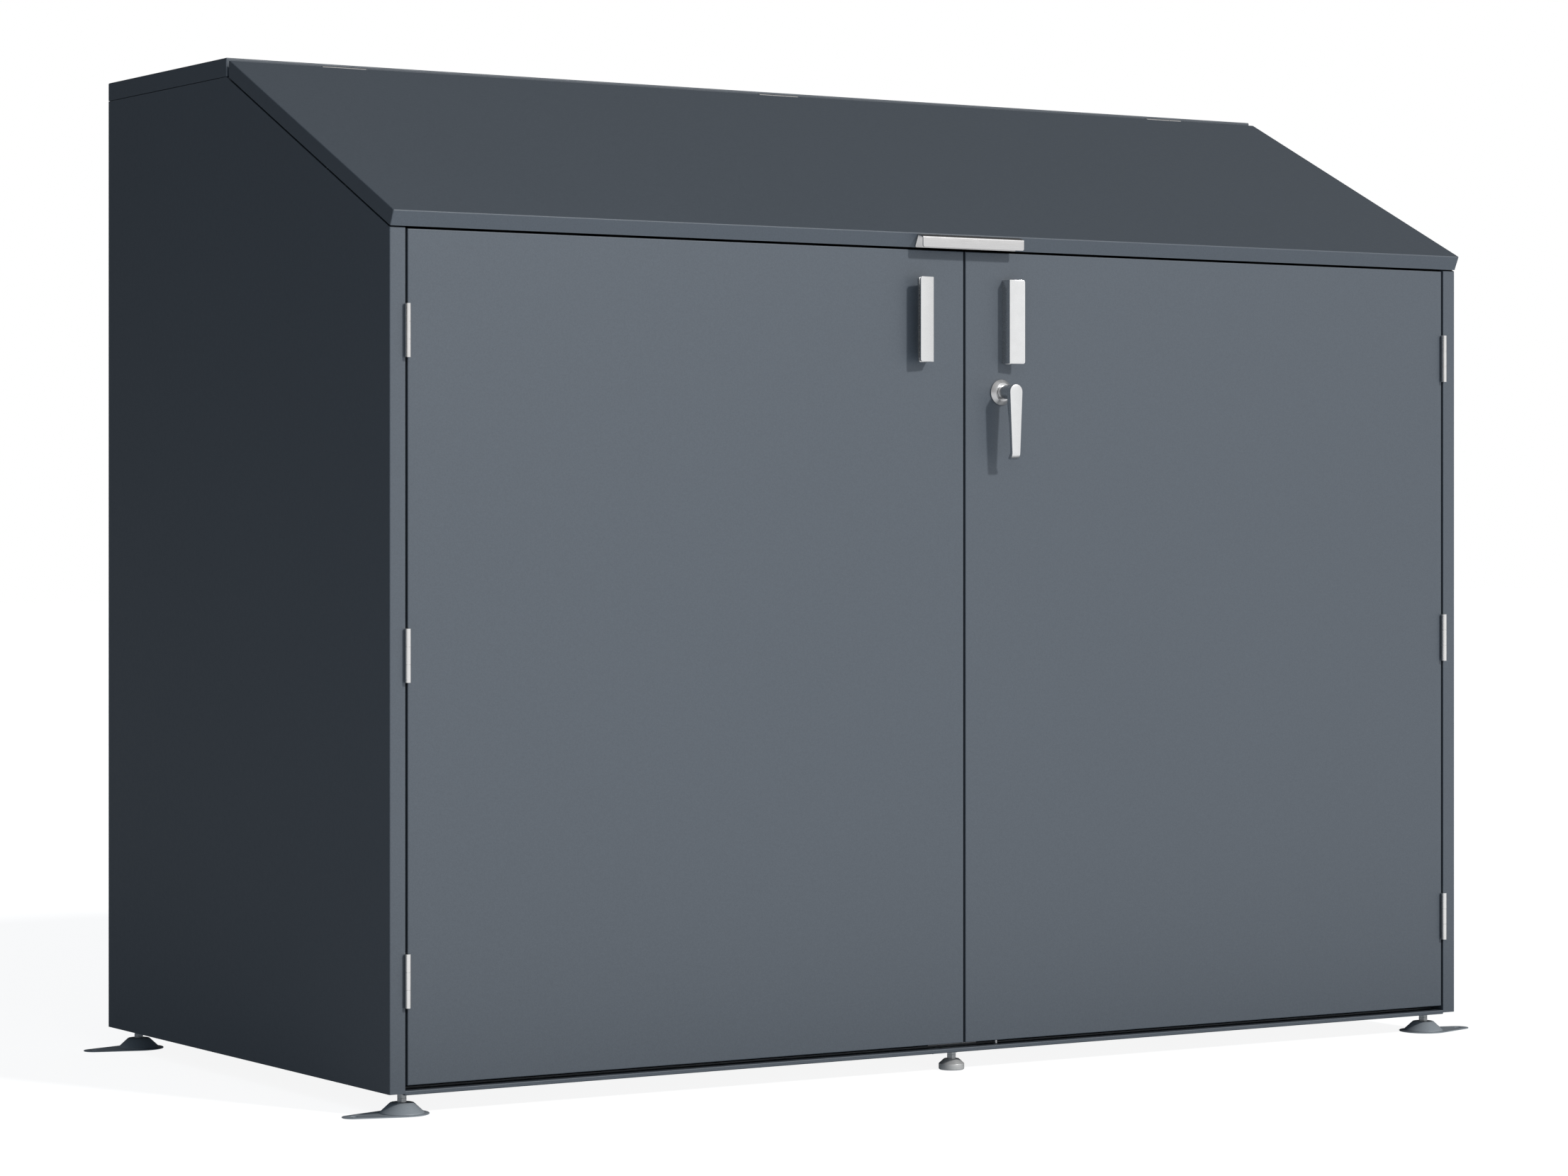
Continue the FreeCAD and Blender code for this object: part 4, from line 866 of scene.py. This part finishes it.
@dataclass
class DoorPull:
    """An extruded pull: a flange on the door, a web, and a face that flares to the hinges."""

    side: Side
    wall: float = 2.4
    flange: float = 15.3
    flare: float = 4.1
    corner: float = 3.5
    flange_corner: float = 2.6
    edge: float = 0.95
    head_radius: float = 3.6
    head_height: float = 1.6
    head_round: float = 0.8
    drive_radius: float = 1.75
    drive_depth: float = 1.1
    drive_lobes: float = 0.13
    drive_chamfer: float = 0.12
    shank_length: float = 9.0
    shank_radius: float = 2.0
    shank_chamfer: float = 0.4
    axis: float = 0.02

    @property
    def name(self) -> str:
        """Left or right."""
        return self.side.name.lower()

    def section(self, ends: float) -> list[tuple[float, float]]:
        """The profile at a distance from the pull's nearer end.

        Args:
            ends: That distance in millimetres.

        Returns:
            Points seen from above, out along the outside and back along the inside.
        """
        low, high = corners(self.name + "_door_pull")
        inner_x = min(abs(low.x), abs(high.x))
        face = abs(high.x - low.x)
        back, out = high.y, low.y + self.flare
        cut = set_back(ends, self.corner)
        reach = (face - cut) / face
        foot = self.flange - set_back(ends, self.flange_corner)
        wall = self.wall
        outside = [(foot, back), (0.0, back), (0.0, out),
                   (face * reach, out - self.flare * reach)]
        slope = self.flare / (face - wall)
        inside_tip = (face * reach, out + wall - slope * (face * reach - wall))
        inside = [inside_tip, (wall, out + wall), (wall, back - wall), (foot, back - wall)]
        return [((inner_x + x) * self.side.value, y) for x, y in outside + inside]

    def build(self) -> bpy.types.Object:
        """Loft the profile from end to end.

        Returns:
            The pull.
        """
        low, high = corners(self.name + "_door_pull")
        rings = [[(x, y, z) for x, y in self.section(ends)]
                 for z, ends in stations(low.z, high.z, self.corner)]
        return Draft().shell(rings, strips=True).done(
            self.name + "_pull_profile", Palette.SATIN_ALUMINIUM, self.edge, 4)

    def screws(self, tools: Tools) -> bpy.types.Object:
        """Two pan-head screws with a six-lobed drive.

        Args:
            tools: The shared trees.

        Returns:
            The screws of this pull.
        """
        low, high = corners(self.name + "_pull_screws")
        r, top, chamfer = self.head_radius, self.head_height, self.drive_chamfer
        shank, end = self.shank_radius, self.shank_length

        def lobes(angle: float) -> float:
            """The drive's radius round the screw."""
            return self.drive_radius * (1 + self.drive_lobes * math.cos(6 * angle))

        def lip(angle: float) -> float:
            """The radius of the chamfer round the drive."""
            return lobes(angle) + chamfer

        dome = rounded([(r, 0.0), (r, top), (lobes(0.0) + 0.1, top)], [top * self.head_round], 6)
        rings: list[Ring] = [(self.axis, -end), (shank - self.shank_chamfer, -end),
                             (shank, -end + self.shank_chamfer), (shank, 0.0)]
        rings += dome[:-1]
        rings += [(lip, top), (lobes, top - chamfer), (lobes, top - self.drive_depth),
                  (self.axis, top - self.drive_depth)]
        height = high.z - low.z - 2 * r
        screw = Draft().turned(rings, 48, closed=False)
        screw.move(Facing.FORWARD, (low.x + high.x) / 2, low.y + top, low.z + r)
        piece = screw.done(self.name + "_pull_fixings", Palette.BRIGHT_STEEL)
        return tools.lattice.spread(piece, Palette.BRIGHT_STEEL, layer=(2, (0.0, 0.0, height)))

    def fit(self, tools: Tools) -> None:
        """Build the pull and its screws and hang them on the door.

        Args:
            tools: The shared trees.
        """
        body = self.name + "_door"
        deliver(self.build(), body, Slot.ALUMINIUM, self.name + "_door_pull")
        deliver(self.screws(tools), body, Slot.STAINLESS, self.name + "_pull_screws")


@dataclass
class LidPull:
    """A bent pull on the lid's lip: back plate, web and a face that hangs in front."""

    wall: float = 2.0
    plate: float = 23.2
    web: float = 12.5
    drop: float = 4.5
    face: float = 16.6
    bend: float = 2.6
    fold: float = 0.9
    inner_fold: float = 0.5
    corner: float = 3.0
    plate_corner: float = 0.6
    edge: float = 0.3
    slope: float = 0.478261

    def section(self, ends: float) -> list[tuple[float, float]]:
        """The profile at a distance from the pull's nearer end.

        Args:
            ends: That distance in millimetres.

        Returns:
            Depths and heights, up the outside and back along the inside.
        """
        high = corners("lid_pull")[1]
        run = math.hypot(1.0, self.slope)
        cut = set_back(ends, self.corner)
        foot = high.z - self.plate / run + cut * self.plate_corner
        back_top = high.y - self.plate * self.slope / run
        face_back = back_top - self.web
        face_front = face_back - self.wall
        face_top = high.z - self.drop
        tip = face_top - self.face + cut

        def plate_at(height: float, inwards: float) -> tuple[float, float]:
            """A point of the back plate, some way in front of its rear face."""
            return back_top + (high.z - height) * self.slope - inwards * run, height

        fall = self.drop / (self.web + self.wall)
        web_low = face_top - self.wall * math.hypot(1.0, fall)
        knee_y, knee_z = plate_at(high.z, self.wall)
        knee_z = (web_low + fall * (knee_y + self.slope * knee_z - face_front)) / (
            1 + fall * self.slope)
        outside = rounded([plate_at(foot, 0.0), (back_top, high.z), (face_front, face_top),
                           (face_front, tip)], [self.fold, self.bend])
        inside = rounded([plate_at(foot, self.wall), plate_at(knee_z, self.wall),
                          (face_back, web_low + fall * self.wall), (face_back, tip)],
                         [self.inner_fold, self.bend - self.wall])
        return outside + inside[::-1]

    def fit(self) -> None:
        """Loft the profile along the lip and fix it to the lid."""
        low, high = corners("lid_pull")
        rings = [[(x, y, z) for y, z in self.section(ends)]
                 for x, ends in stations(low.x, high.x, self.corner)]
        piece = Draft().shell(rings, strips=True).done(
            "lid_pull_profile", Palette.DRAWN_ALUMINIUM, self.edge)
        deliver(piece, "lid", Slot.ALUMINIUM, "lid_pull")


@dataclass
class Lock:
    """The turned rosette and the cast lever of the right door's lock."""

    rim: float = 2.0
    face_radius: float = 14.0
    bore: float = 6.05
    rosette_rounds: tuple[float, float, float] = (0.3, 0.7, 0.5)
    head: float = 11.5
    head_steps: int = 14
    head_start: float = 5.0
    head_turn: float = 6.8
    tip: float = 7.0
    thickness: float = 9.0
    shoulder: float = 21.0
    thinning: tuple[float, float] = (30.0, 42.0)
    waist: float = 5.8
    waist_drop: float = 55.0
    shank_drop: float = 72.0
    toe: float = 12.0
    toe_edge: float = 2.5
    toe_rise: float = 11.5
    toe_lead: float = 2.0
    toe_curve: float = 1.3
    toe_steps: int = 8
    bend: float = 10.5
    neck: float = 11.0
    neck_overlap: float = 0.4
    neck_rounds: tuple[float, ...] = (0.0, 0.5, 0.3, 0.5)
    spindle: float = 6.0
    axis: float = 0.05
    gap: float = 0.5
    edge: float = 1.1

    def rosette(self) -> bpy.types.Object:
        """Turn a cone with a rounded rim, flat behind the neck.

        Returns:
            The rosette.
        """
        low, high = corners("lock_rosette")
        radius = (high.x - low.x) / 2
        tall = high.y - low.y
        profile = rounded(
            [(self.bore, 0.0), (radius, 0.0), (radius, self.rim), (self.face_radius, tall),
             (self.bore, tall)], self.rosette_rounds, 4)
        piece = Draft().turned(profile, 96)
        piece.move(Facing.FORWARD, (low.x + high.x) / 2, high.y, (low.z + high.z) / 2)
        # The rosette takes the darkened stainless: painted shade.
        return piece.done("lock_rosette_turned", Palette.BLASTED_STEEL_AND_PAINTED_SHADE)

    def half_width(self, drop: float) -> float:
        """Find half the lever's width: a round head, then straight flanks to the toe.

        Args:
            drop: Distance below the lock's axis.

        Returns:
            Half the width there.
        """
        low, high = corners("lever_handle")
        length = high.z - self.head - low.z
        lean = (self.head - self.tip) / length
        if drop < self.head * lean:
            return math.sqrt(max(self.head ** 2 - drop ** 2, 0.0))
        return self.head * math.sqrt(1 - lean ** 2) - (drop - self.head * lean) * lean

    def blade(self, front: float, length: float) -> list[Section]:
        """Cut the blade in sections: it thins to its waist and hooks back at its toe.

        Args:
            front: Depth of its front face.
            length: From the lock's axis down to the toe.

        Returns:
            The sections from top to toe.
        """
        back = front + self.thickness
        turns = [math.radians(self.head_start + self.head_turn * step)
                 for step in range(self.head_steps)]
        drops = [-self.head * math.cos(turn) for turn in turns]
        drops += [self.shoulder, *self.thinning, self.waist_drop, self.shank_drop,
                  length - self.toe_rise - self.toe_lead]
        found = []
        for drop in drops:
            part = (drop - self.shoulder) / (self.waist_drop - self.shoulder)
            part = min(max(part, 0.0), 1.0)
            eased = part * part * (3 - 2 * part)
            behind = back + (front + self.waist - back) * eased
            found.append(((front, -drop), (behind, -drop), self.half_width(drop)))
        for step in range(self.toe_steps + 1):
            part = step / self.toe_steps
            angle = math.pi / 2 * part
            fore = (front + self.bend * (1 - math.cos(angle)),
                    -length + self.bend * (1 - math.sin(angle)))
            aft = (front + self.waist + (self.toe - self.waist) * part ** self.toe_curve,
                   -length + self.toe_rise + (self.toe_edge - self.toe_rise) * part)
            found.append((fore, aft, self.half_width(-(fore[1] + aft[1]) / 2)))
        return found

    def lever(self) -> bpy.types.Object:
        """Loft the blade, turn the neck and the spindle, and ease all edges.

        Returns:
            The lever.
        """
        low, high = corners("lever_handle")
        x = (low.x + high.x) / 2
        axis_z = high.z - self.head
        rings = [[(x - wide, y0, axis_z + z0), (x + wide, y0, axis_z + z0),
                  (x + wide, y1, axis_z + z1), (x - wide, y1, axis_z + z1)]
                 for (y0, z0), (y1, z1), wide in self.blade(low.y, axis_z - low.z)]
        back = low.y + self.thickness
        tall = corners("lock_rosette")[0].y - self.gap - back
        end = high.y - back
        neck = Draft().turned(rounded(
            [(self.axis, -self.neck_overlap), (self.neck, -self.neck_overlap),
             (self.neck, tall), (self.spindle, tall), (self.spindle, end), (self.axis, end)],
            self.neck_rounds), 64, closed=False)
        neck.move(Facing.BACKWARD, x, back, axis_z)
        return Draft().shell(rings).add(neck).done(
            "lever_casting", Palette.SATIN_ALUMINIUM, self.edge, 3)

    def fit(self) -> None:
        """Fix the rosette to the door and the lever to its spindle."""
        deliver(self.rosette(), "right_door", Slot.ALUMINIUM, "lock_rosette")
        deliver(self.lever(), "lever", Slot.ALUMINIUM, "lever_handle")


@dataclass
class Levelling:
    """The levelling screws with their nuts and the two middle feet."""

    flats: float = 13.0
    nut_height: float = 6.5
    nut_gap: float = 0.06
    nut_land: float = 0.97
    nut_chamfer: float = 30.0
    bore_lead: float = 0.45
    bore_play: float = 0.02
    stem: float = 4.0
    pitch: float = 1.25
    disc_top: float = 11.8
    shoulder: float = 9.5
    disc_rounds: tuple[float, float, float] = (2.2, 0.9, 0.8)
    places: tuple[int, int] = (3, 2)

    def _grid(self) -> tuple[Vector, Vector]:
        """Find the levelling screws.

        Returns:
            The foot of the first one's axis, and the step to the next column and row.
        """
        low, high = corners("levelling_stems")
        first = Vector((low.x + self.stem, low.y + self.stem, low.z))
        last = Vector((high.x - self.stem, high.y - self.stem, high.z))
        columns, rows = self.places
        step = Vector(((last.x - first.x) / (columns - 1), (last.y - first.y) / (rows - 1), 0.0))
        return first, step

    def nuts(self, tools: Tools) -> bpy.types.Object:
        """Turn a chamfered hexagon nut and put two on each screw.

        Args:
            tools: The shared trees.

        Returns:
            All the nuts.
        """
        first, step = self._grid()
        low = corners("levelling_nuts")[0].z
        land = self.flats / 2 * self.nut_land
        bore, lead = self.stem + self.bore_play, self.bore_lead
        top = self.nut_height - self.nut_gap

        def hexagon(angle: float) -> float:
            """The nut's radius round its axis."""
            return self.flats / 2 / math.cos(angle % (math.pi / 3) - math.pi / 6)

        def drop(angle: float) -> float:
            """How far the chamfer has cut the flats back."""
            return (hexagon(angle) - land) * math.tan(math.radians(self.nut_chamfer))

        rings: list[Ring] = [
            (bore, lead), (bore + lead, 0.0), (land, 0.0),
            (hexagon, drop), (hexagon, lambda angle: top - drop(angle)),
            (land, top), (bore + lead, top), (bore, top - lead)]
        nut = Draft().turned(rings, 72).move(Facing.UP, first.x, first.y, low)
        # The nuts take the lightened plated finish: painted light for the shade under the casing.
        piece = nut.done("levelling_hexagon_nuts", Palette.PLATED_STEEL)
        columns, rows = self.places
        return tools.lattice.spread(
            piece, Palette.PLATED_STEEL, column=(columns, (step.x, 0.0, 0.0)),
            row=(rows, (0.0, step.y, 0.0)), layer=(2, (0.0, 0.0, self.nut_height)))

    def stems(self, tools: Tools) -> bpy.types.Object:
        """Thread the screws that stand in the feet and the mounting plates.

        Args:
            tools: The shared trees.

        Returns:
            All the screws.
        """
        low, high = corners("levelling_stems")
        first, step = self._grid()
        screws = linked("levelling_screws", bpy.data.meshes.new("levelling_screws"))
        long = high.z - low.z - self.pitch
        tools.thread.run(screws, {
            "Radius": self.stem * MM, "Pitch": self.pitch * MM, "Length": long * MM,
            "Turns": long / self.pitch}, Palette.BRIGHT_STEEL)
        screws.data.transform(Matrix.Translation(
            Vector((first.x, first.y, low.z + self.pitch / 2)) * MM))
        columns, rows = self.places
        tools.lattice.spread(screws, Palette.BRIGHT_STEEL, column=(columns, (step.x, 0.0, 0.0)),
                             row=(rows, (0.0, step.y, 0.0)))
        smooth(screws.data, Draft.SHARP)
        return screws

    def discs(self, tools: Tools) -> bpy.types.Object:
        """Turn the stainless feet in the middle of the front and the rear.

        Args:
            tools: The shared trees.

        Returns:
            Both feet.
        """
        low, high = corners("centre_foot_discs")
        radius = (high.x - low.x) / 2
        first, step = self._grid()
        profile = rounded(
            [(self.stem, 0.0), (radius, 0.0), (radius, self.shoulder),
             (self.disc_top, high.z), (self.stem, high.z)], self.disc_rounds, 6)
        disc = Draft().turned(profile, 96).move(Facing.UP, 0.0, first.y, low.z)
        piece = disc.done("centre_feet_turned", Palette.TURNED_STEEL)
        return tools.lattice.spread(piece, Palette.TURNED_STEEL,
                                    row=(self.places[1], (0.0, step.y, 0.0)))

    def fit(self, tools: Tools) -> None:
        """Fit nuts, screws and middle feet to the casing.

        Args:
            tools: The shared trees.
        """
        deliver(self.nuts(tools), "root", Slot.STAINLESS, "levelling_nuts")
        deliver(self.stems(tools), "root", Slot.STAINLESS, "levelling_stems")
        deliver(self.discs(tools), "root", Slot.STAINLESS, "centre_foot_discs")


@dataclass
class AnchorFoot:
    """A painted dome on a teardrop plate whose point takes the ground anchor."""

    name: str
    side: Side
    plate: float = 40.0
    tip: float = 18.0
    thickness: float = 1.5
    soft: float = 0.45
    soft_middle: float = 0.3
    hole: float = 5.5
    dome_base: float = 32.5
    dome_top: float = 17.0
    dome_rounds: tuple[float, float, float] = (0.2, 1.6, 4.8)
    rim: float = 1.2
    bore: float = 4.05

    def outline(self, reach: float) -> Callable[[float], float]:
        """The plate's edge as a distance from the anchor hole.

        Args:
            reach: From the hole to the middle of the dome.

        Returns:
            A function that gives it for each direction.
        """
        lean = (self.tip - self.plate) / reach
        rise = math.sqrt(1 - lean ** 2)
        from_tip = math.atan2(rise, lean)
        to_plate = math.atan2(self.plate * rise, reach + self.plate * lean)

        def edge(angle: float) -> float:
            """Measure to the edge.

            Args:
                angle: The direction, 0 towards the dome.

            Returns:
                The distance from the anchor hole.
            """
            turn = abs((angle + math.pi) % (2 * math.pi) - math.pi)
            if turn > from_tip:
                return self.tip
            if turn > to_plate:
                return self.tip / (math.cos(turn) * lean + math.sin(turn) * rise)
            across = reach * math.sin(turn)
            return reach * math.cos(turn) + math.sqrt(self.plate ** 2 - across ** 2)

        return edge

    def build(self) -> bpy.types.Object:
        """Build plate and dome.

        Returns:
            The foot.
        """
        low, high = corners(self.name + "_foot")
        y = (low.y + high.y) / 2
        if self.side is Side.LEFT:
            hole_x, dome_x = low.x + self.tip, high.x - self.plate
        else:
            hole_x, dome_x = high.x - self.tip, low.x + self.plate
        edge = self.outline(abs(dome_x - hole_x))
        t, hole = self.thickness, self.hole
        soft, less = self.soft, self.soft * self.soft_middle

        def flat(angle: float) -> float:
            """Where the plate's flat faces end."""
            return edge(angle) - soft

        def turning(angle: float) -> float:
            """The middle of the rounding from a face to the edge."""
            return edge(angle) - less

        plate = Draft().turned([
            (hole, soft), (hole + soft, 0.0), (flat, 0.0), (turning, less),
            (edge, soft), (edge, t - soft), (turning, t - less), (flat, t),
            (hole + soft, t), (hole + less, t - less), (hole, t - soft)], 180)
        if self.side is Side.RIGHT:
            plate.mesh.transform(Matrix.Rotation(math.pi, 4, "Z"))
        plate.move(Facing.UP, hole_x, y, low.z)
        top = high.z
        dome = Draft().turned(rounded(
            [(self.bore, t), (self.dome_base, t), (self.dome_base, t + self.rim),
             (self.dome_top, top), (self.bore, top)], self.dome_rounds, 8), 96)
        dome.move(Facing.UP, dome_x, y, 0.0)
        # The foot takes the lighter grey: painted light for the casing's shade.
        return plate.add(dome).done(self.name + "_anchor_foot", Palette.FOOT_GREY)

    def fit(self) -> None:
        """Put the foot on its swivel."""
        deliver(self.build(), self.name + "_base", Slot.PAINTED, self.name + "_foot")


@dataclass(frozen=True)
class SoftBox:
    """A square lamp near the camera that fills in and shows in no reflection."""

    name: str
    place: tuple[float, float, float]
    aim: tuple[float, float, float]
    size: float
    power: float

    def build(self) -> None:
        """Hang the lamp, out of sight of the camera and of mirrors."""
        lamp = bpy.data.lights.new(self.name, "AREA")
        lamp.size = self.size
        lamp.energy = self.power
        made = linked(self.name, lamp)
        place = Vector(self.place)
        made.location = place
        made.rotation_euler = (place - Vector(self.aim)).to_track_quat("Z", "Y").to_euler()
        made.visible_camera = False
        made.visible_glossy = False


@dataclass
class Studio:
    """Floor, light and camera."""

    floor_size: float = 80.0
    floor_grey: float = 0.32
    floor_glow: float = 0.9
    floor_front: float = 0.5
    floor_rest: float = 0.2
    floor_fade: tuple[float, float] = (0.6, 1.2)
    mirrored_floor: tuple[float, float] = (0.5, 1.6)
    backdrop_from: tuple[float, float, float] = (0.36, -0.91, 0.2)
    backdrop_spread: tuple[float, float] = (-0.5, 0.95)
    backdrop_dim: float = 0.05
    sky: float = 0.15
    sky_colour: tuple[float, float, float] = (0.82, 1.0, 1.2)
    key_from: tuple[float, float, float] = (0.33, -0.78, 0.53)
    key_strength: float = 1.7
    key_angle: float = 4.0
    boxes: tuple[SoftBox, ...] = (
        SoftBox("left_box", (-1.5, -3.2, 2.6), (-0.5, -0.5, 1.1), 1.6, 12.0),
        SoftBox("low_box", (0.0, -4.0, 0.7), (0.0, -0.5, 0.7), 1.2, 3.5))
    frame_width: int = 2212
    frame_height: int = 1659
    sensor: float = 36.0
    focal_pixels: float = 6067.68
    horizon: float = 746.8
    eye: tuple[float, float, float] = (-3.8107, -6.0112, 0.8437)
    azimuth: float = -32.27

    def _seen(self, graph: Graph, white: float, shade: Signal) -> Signal:
        """What the camera and reflections see of the surroundings.

        Args:
            graph: The tree to build in.
            white: What the camera sees.
            shade: Share of it that reflections show.

        Returns:
            The strength for those rays, and 0 for scattered light.
        """
        ray = graph.node("ShaderNodeLightPath").outputs
        mirrored = Signal(graph, ray["Is Glossy Ray"]) + Signal(graph, ray["Is Transmission Ray"])
        return (Signal(graph, ray["Is Camera Ray"]) + mirrored * shade) * white

    def _scattered(self, graph: Graph, strength: float | Signal) -> Signal:
        """The glow that scattered light takes from the surroundings."""
        ray = graph.node("ShaderNodeLightPath").outputs
        return Signal(graph, ray["Is Diffuse Ray"]) * strength

    def world(self) -> None:
        """White to the camera, bright in reflections of the front, and a soft cool glow."""
        world = bpy.data.worlds.new("studio")
        bpy.context.scene.world = world
        graph = Graph.blank(world)
        heading = graph.node("ShaderNodeTexCoord").outputs["Generated"]
        ahead = Signal(graph, graph.node("ShaderNodeVectorMath", {"operation": "DOT_PRODUCT"}, {
            0: heading, 1: self.backdrop_from}).outputs["Value"])
        near = ahead.ramp(*self.backdrop_spread)
        shade = near * near * (1.0 - self.backdrop_dim) + self.backdrop_dim
        white = graph.node("ShaderNodeBackground", {}, {
            "Color": (1.0, 1.0, 1.0, 1.0), "Strength": self._seen(graph, 1.0, shade)})
        glow = graph.node("ShaderNodeBackground", {}, {
            "Color": (*self.sky_colour, 1.0), "Strength": self._scattered(graph, self.sky)})
        both = graph.both(white, glow)
        graph.node("ShaderNodeOutputWorld", {}, {"Surface": both.outputs[0]})

    def floor(self) -> None:
        """A plain pale floor that keeps the locker's shadow and throws light up at the front."""
        half = self.floor_size / 2
        data = bpy.data.meshes.new("studio_floor")
        data.from_pydata([(-half, -half, 0), (half, -half, 0), (half, half, 0), (-half, half, 0)],
                         [], [(0, 1, 2, 3)])
        floor = linked("studio_floor", data)
        material = bpy.data.materials.new("studio_paper")
        graph = Graph.blank(material)
        parts = graph.node("ShaderNodeSeparateXYZ", {}, {"Vector": graph.place()}).outputs
        front = 0.0 - Signal(graph, parts["Y"])
        soft = front.ramp(*self.floor_fade, self.floor_rest, self.floor_front)
        shade = front.ramp(*self.mirrored_floor, self.backdrop_dim)
        paper = graph.node("ShaderNodeBsdfDiffuse", {}, {
            "Color": (self.floor_grey, self.floor_grey, self.floor_grey, 1.0)})
        white = graph.node("ShaderNodeEmission", {}, {
            "Color": (1.0, 1.0, 1.0, 1.0), "Strength": self._seen(graph, self.floor_glow, shade)})
        glow = graph.node("ShaderNodeEmission", {}, {
            "Color": (*self.sky_colour, 1.0), "Strength": self._scattered(graph, soft)})
        both = graph.both(paper, graph.both(white, glow))
        graph.node("ShaderNodeOutputMaterial", {}, {"Surface": both.outputs[0]})
        data.materials.append(material)

    def lamps(self) -> None:
        """The key lamp from the upper right, and the soft boxes."""
        lamp = bpy.data.lights.new("key", "SUN")
        lamp.energy = self.key_strength
        lamp.angle = math.radians(self.key_angle)
        key = linked("key", lamp)
        key.rotation_euler = Vector(self.key_from).to_track_quat("Z", "Y").to_euler()
        for box in self.boxes:
            box.build()

    def camera(self) -> None:
        """The photograph's view: level, with the horizon above the middle."""
        data = bpy.data.cameras.new("view")
        data.sensor_width = self.sensor
        data.sensor_fit = "HORIZONTAL"
        data.lens = self.focal_pixels / self.frame_width * self.sensor
        data.shift_y = (self.horizon - self.frame_height / 2) / self.frame_width
        view = linked("view", data)
        view.location = self.eye
        view.rotation_euler = (math.radians(90), 0.0, math.radians(self.azimuth))
        bpy.context.scene.camera = view

    def build(self) -> None:
        """Set up the studio."""
        self.world()
        self.floor()
        self.lamps()
        self.camera()
        bpy.context.scene.view_settings.view_transform = "Standard"


def main() -> None:
    """Dress the locker and light it."""
    logging.basicConfig(level=logging.INFO, format="%(name)s: %(message)s")
    tools = Tools()
    Sheetwork().dress()
    for side in Side:
        DoorPull(side).fit(tools)
    LidPull().fit()
    Lock().fit()
    Levelling().fit(tools)
    for end in ("front", "rear"):
        for side in Side:
            AnchorFoot(end + "_" + side.name.lower(), side).fit()
    Studio().build()


if __name__ == "__main__":
    main()
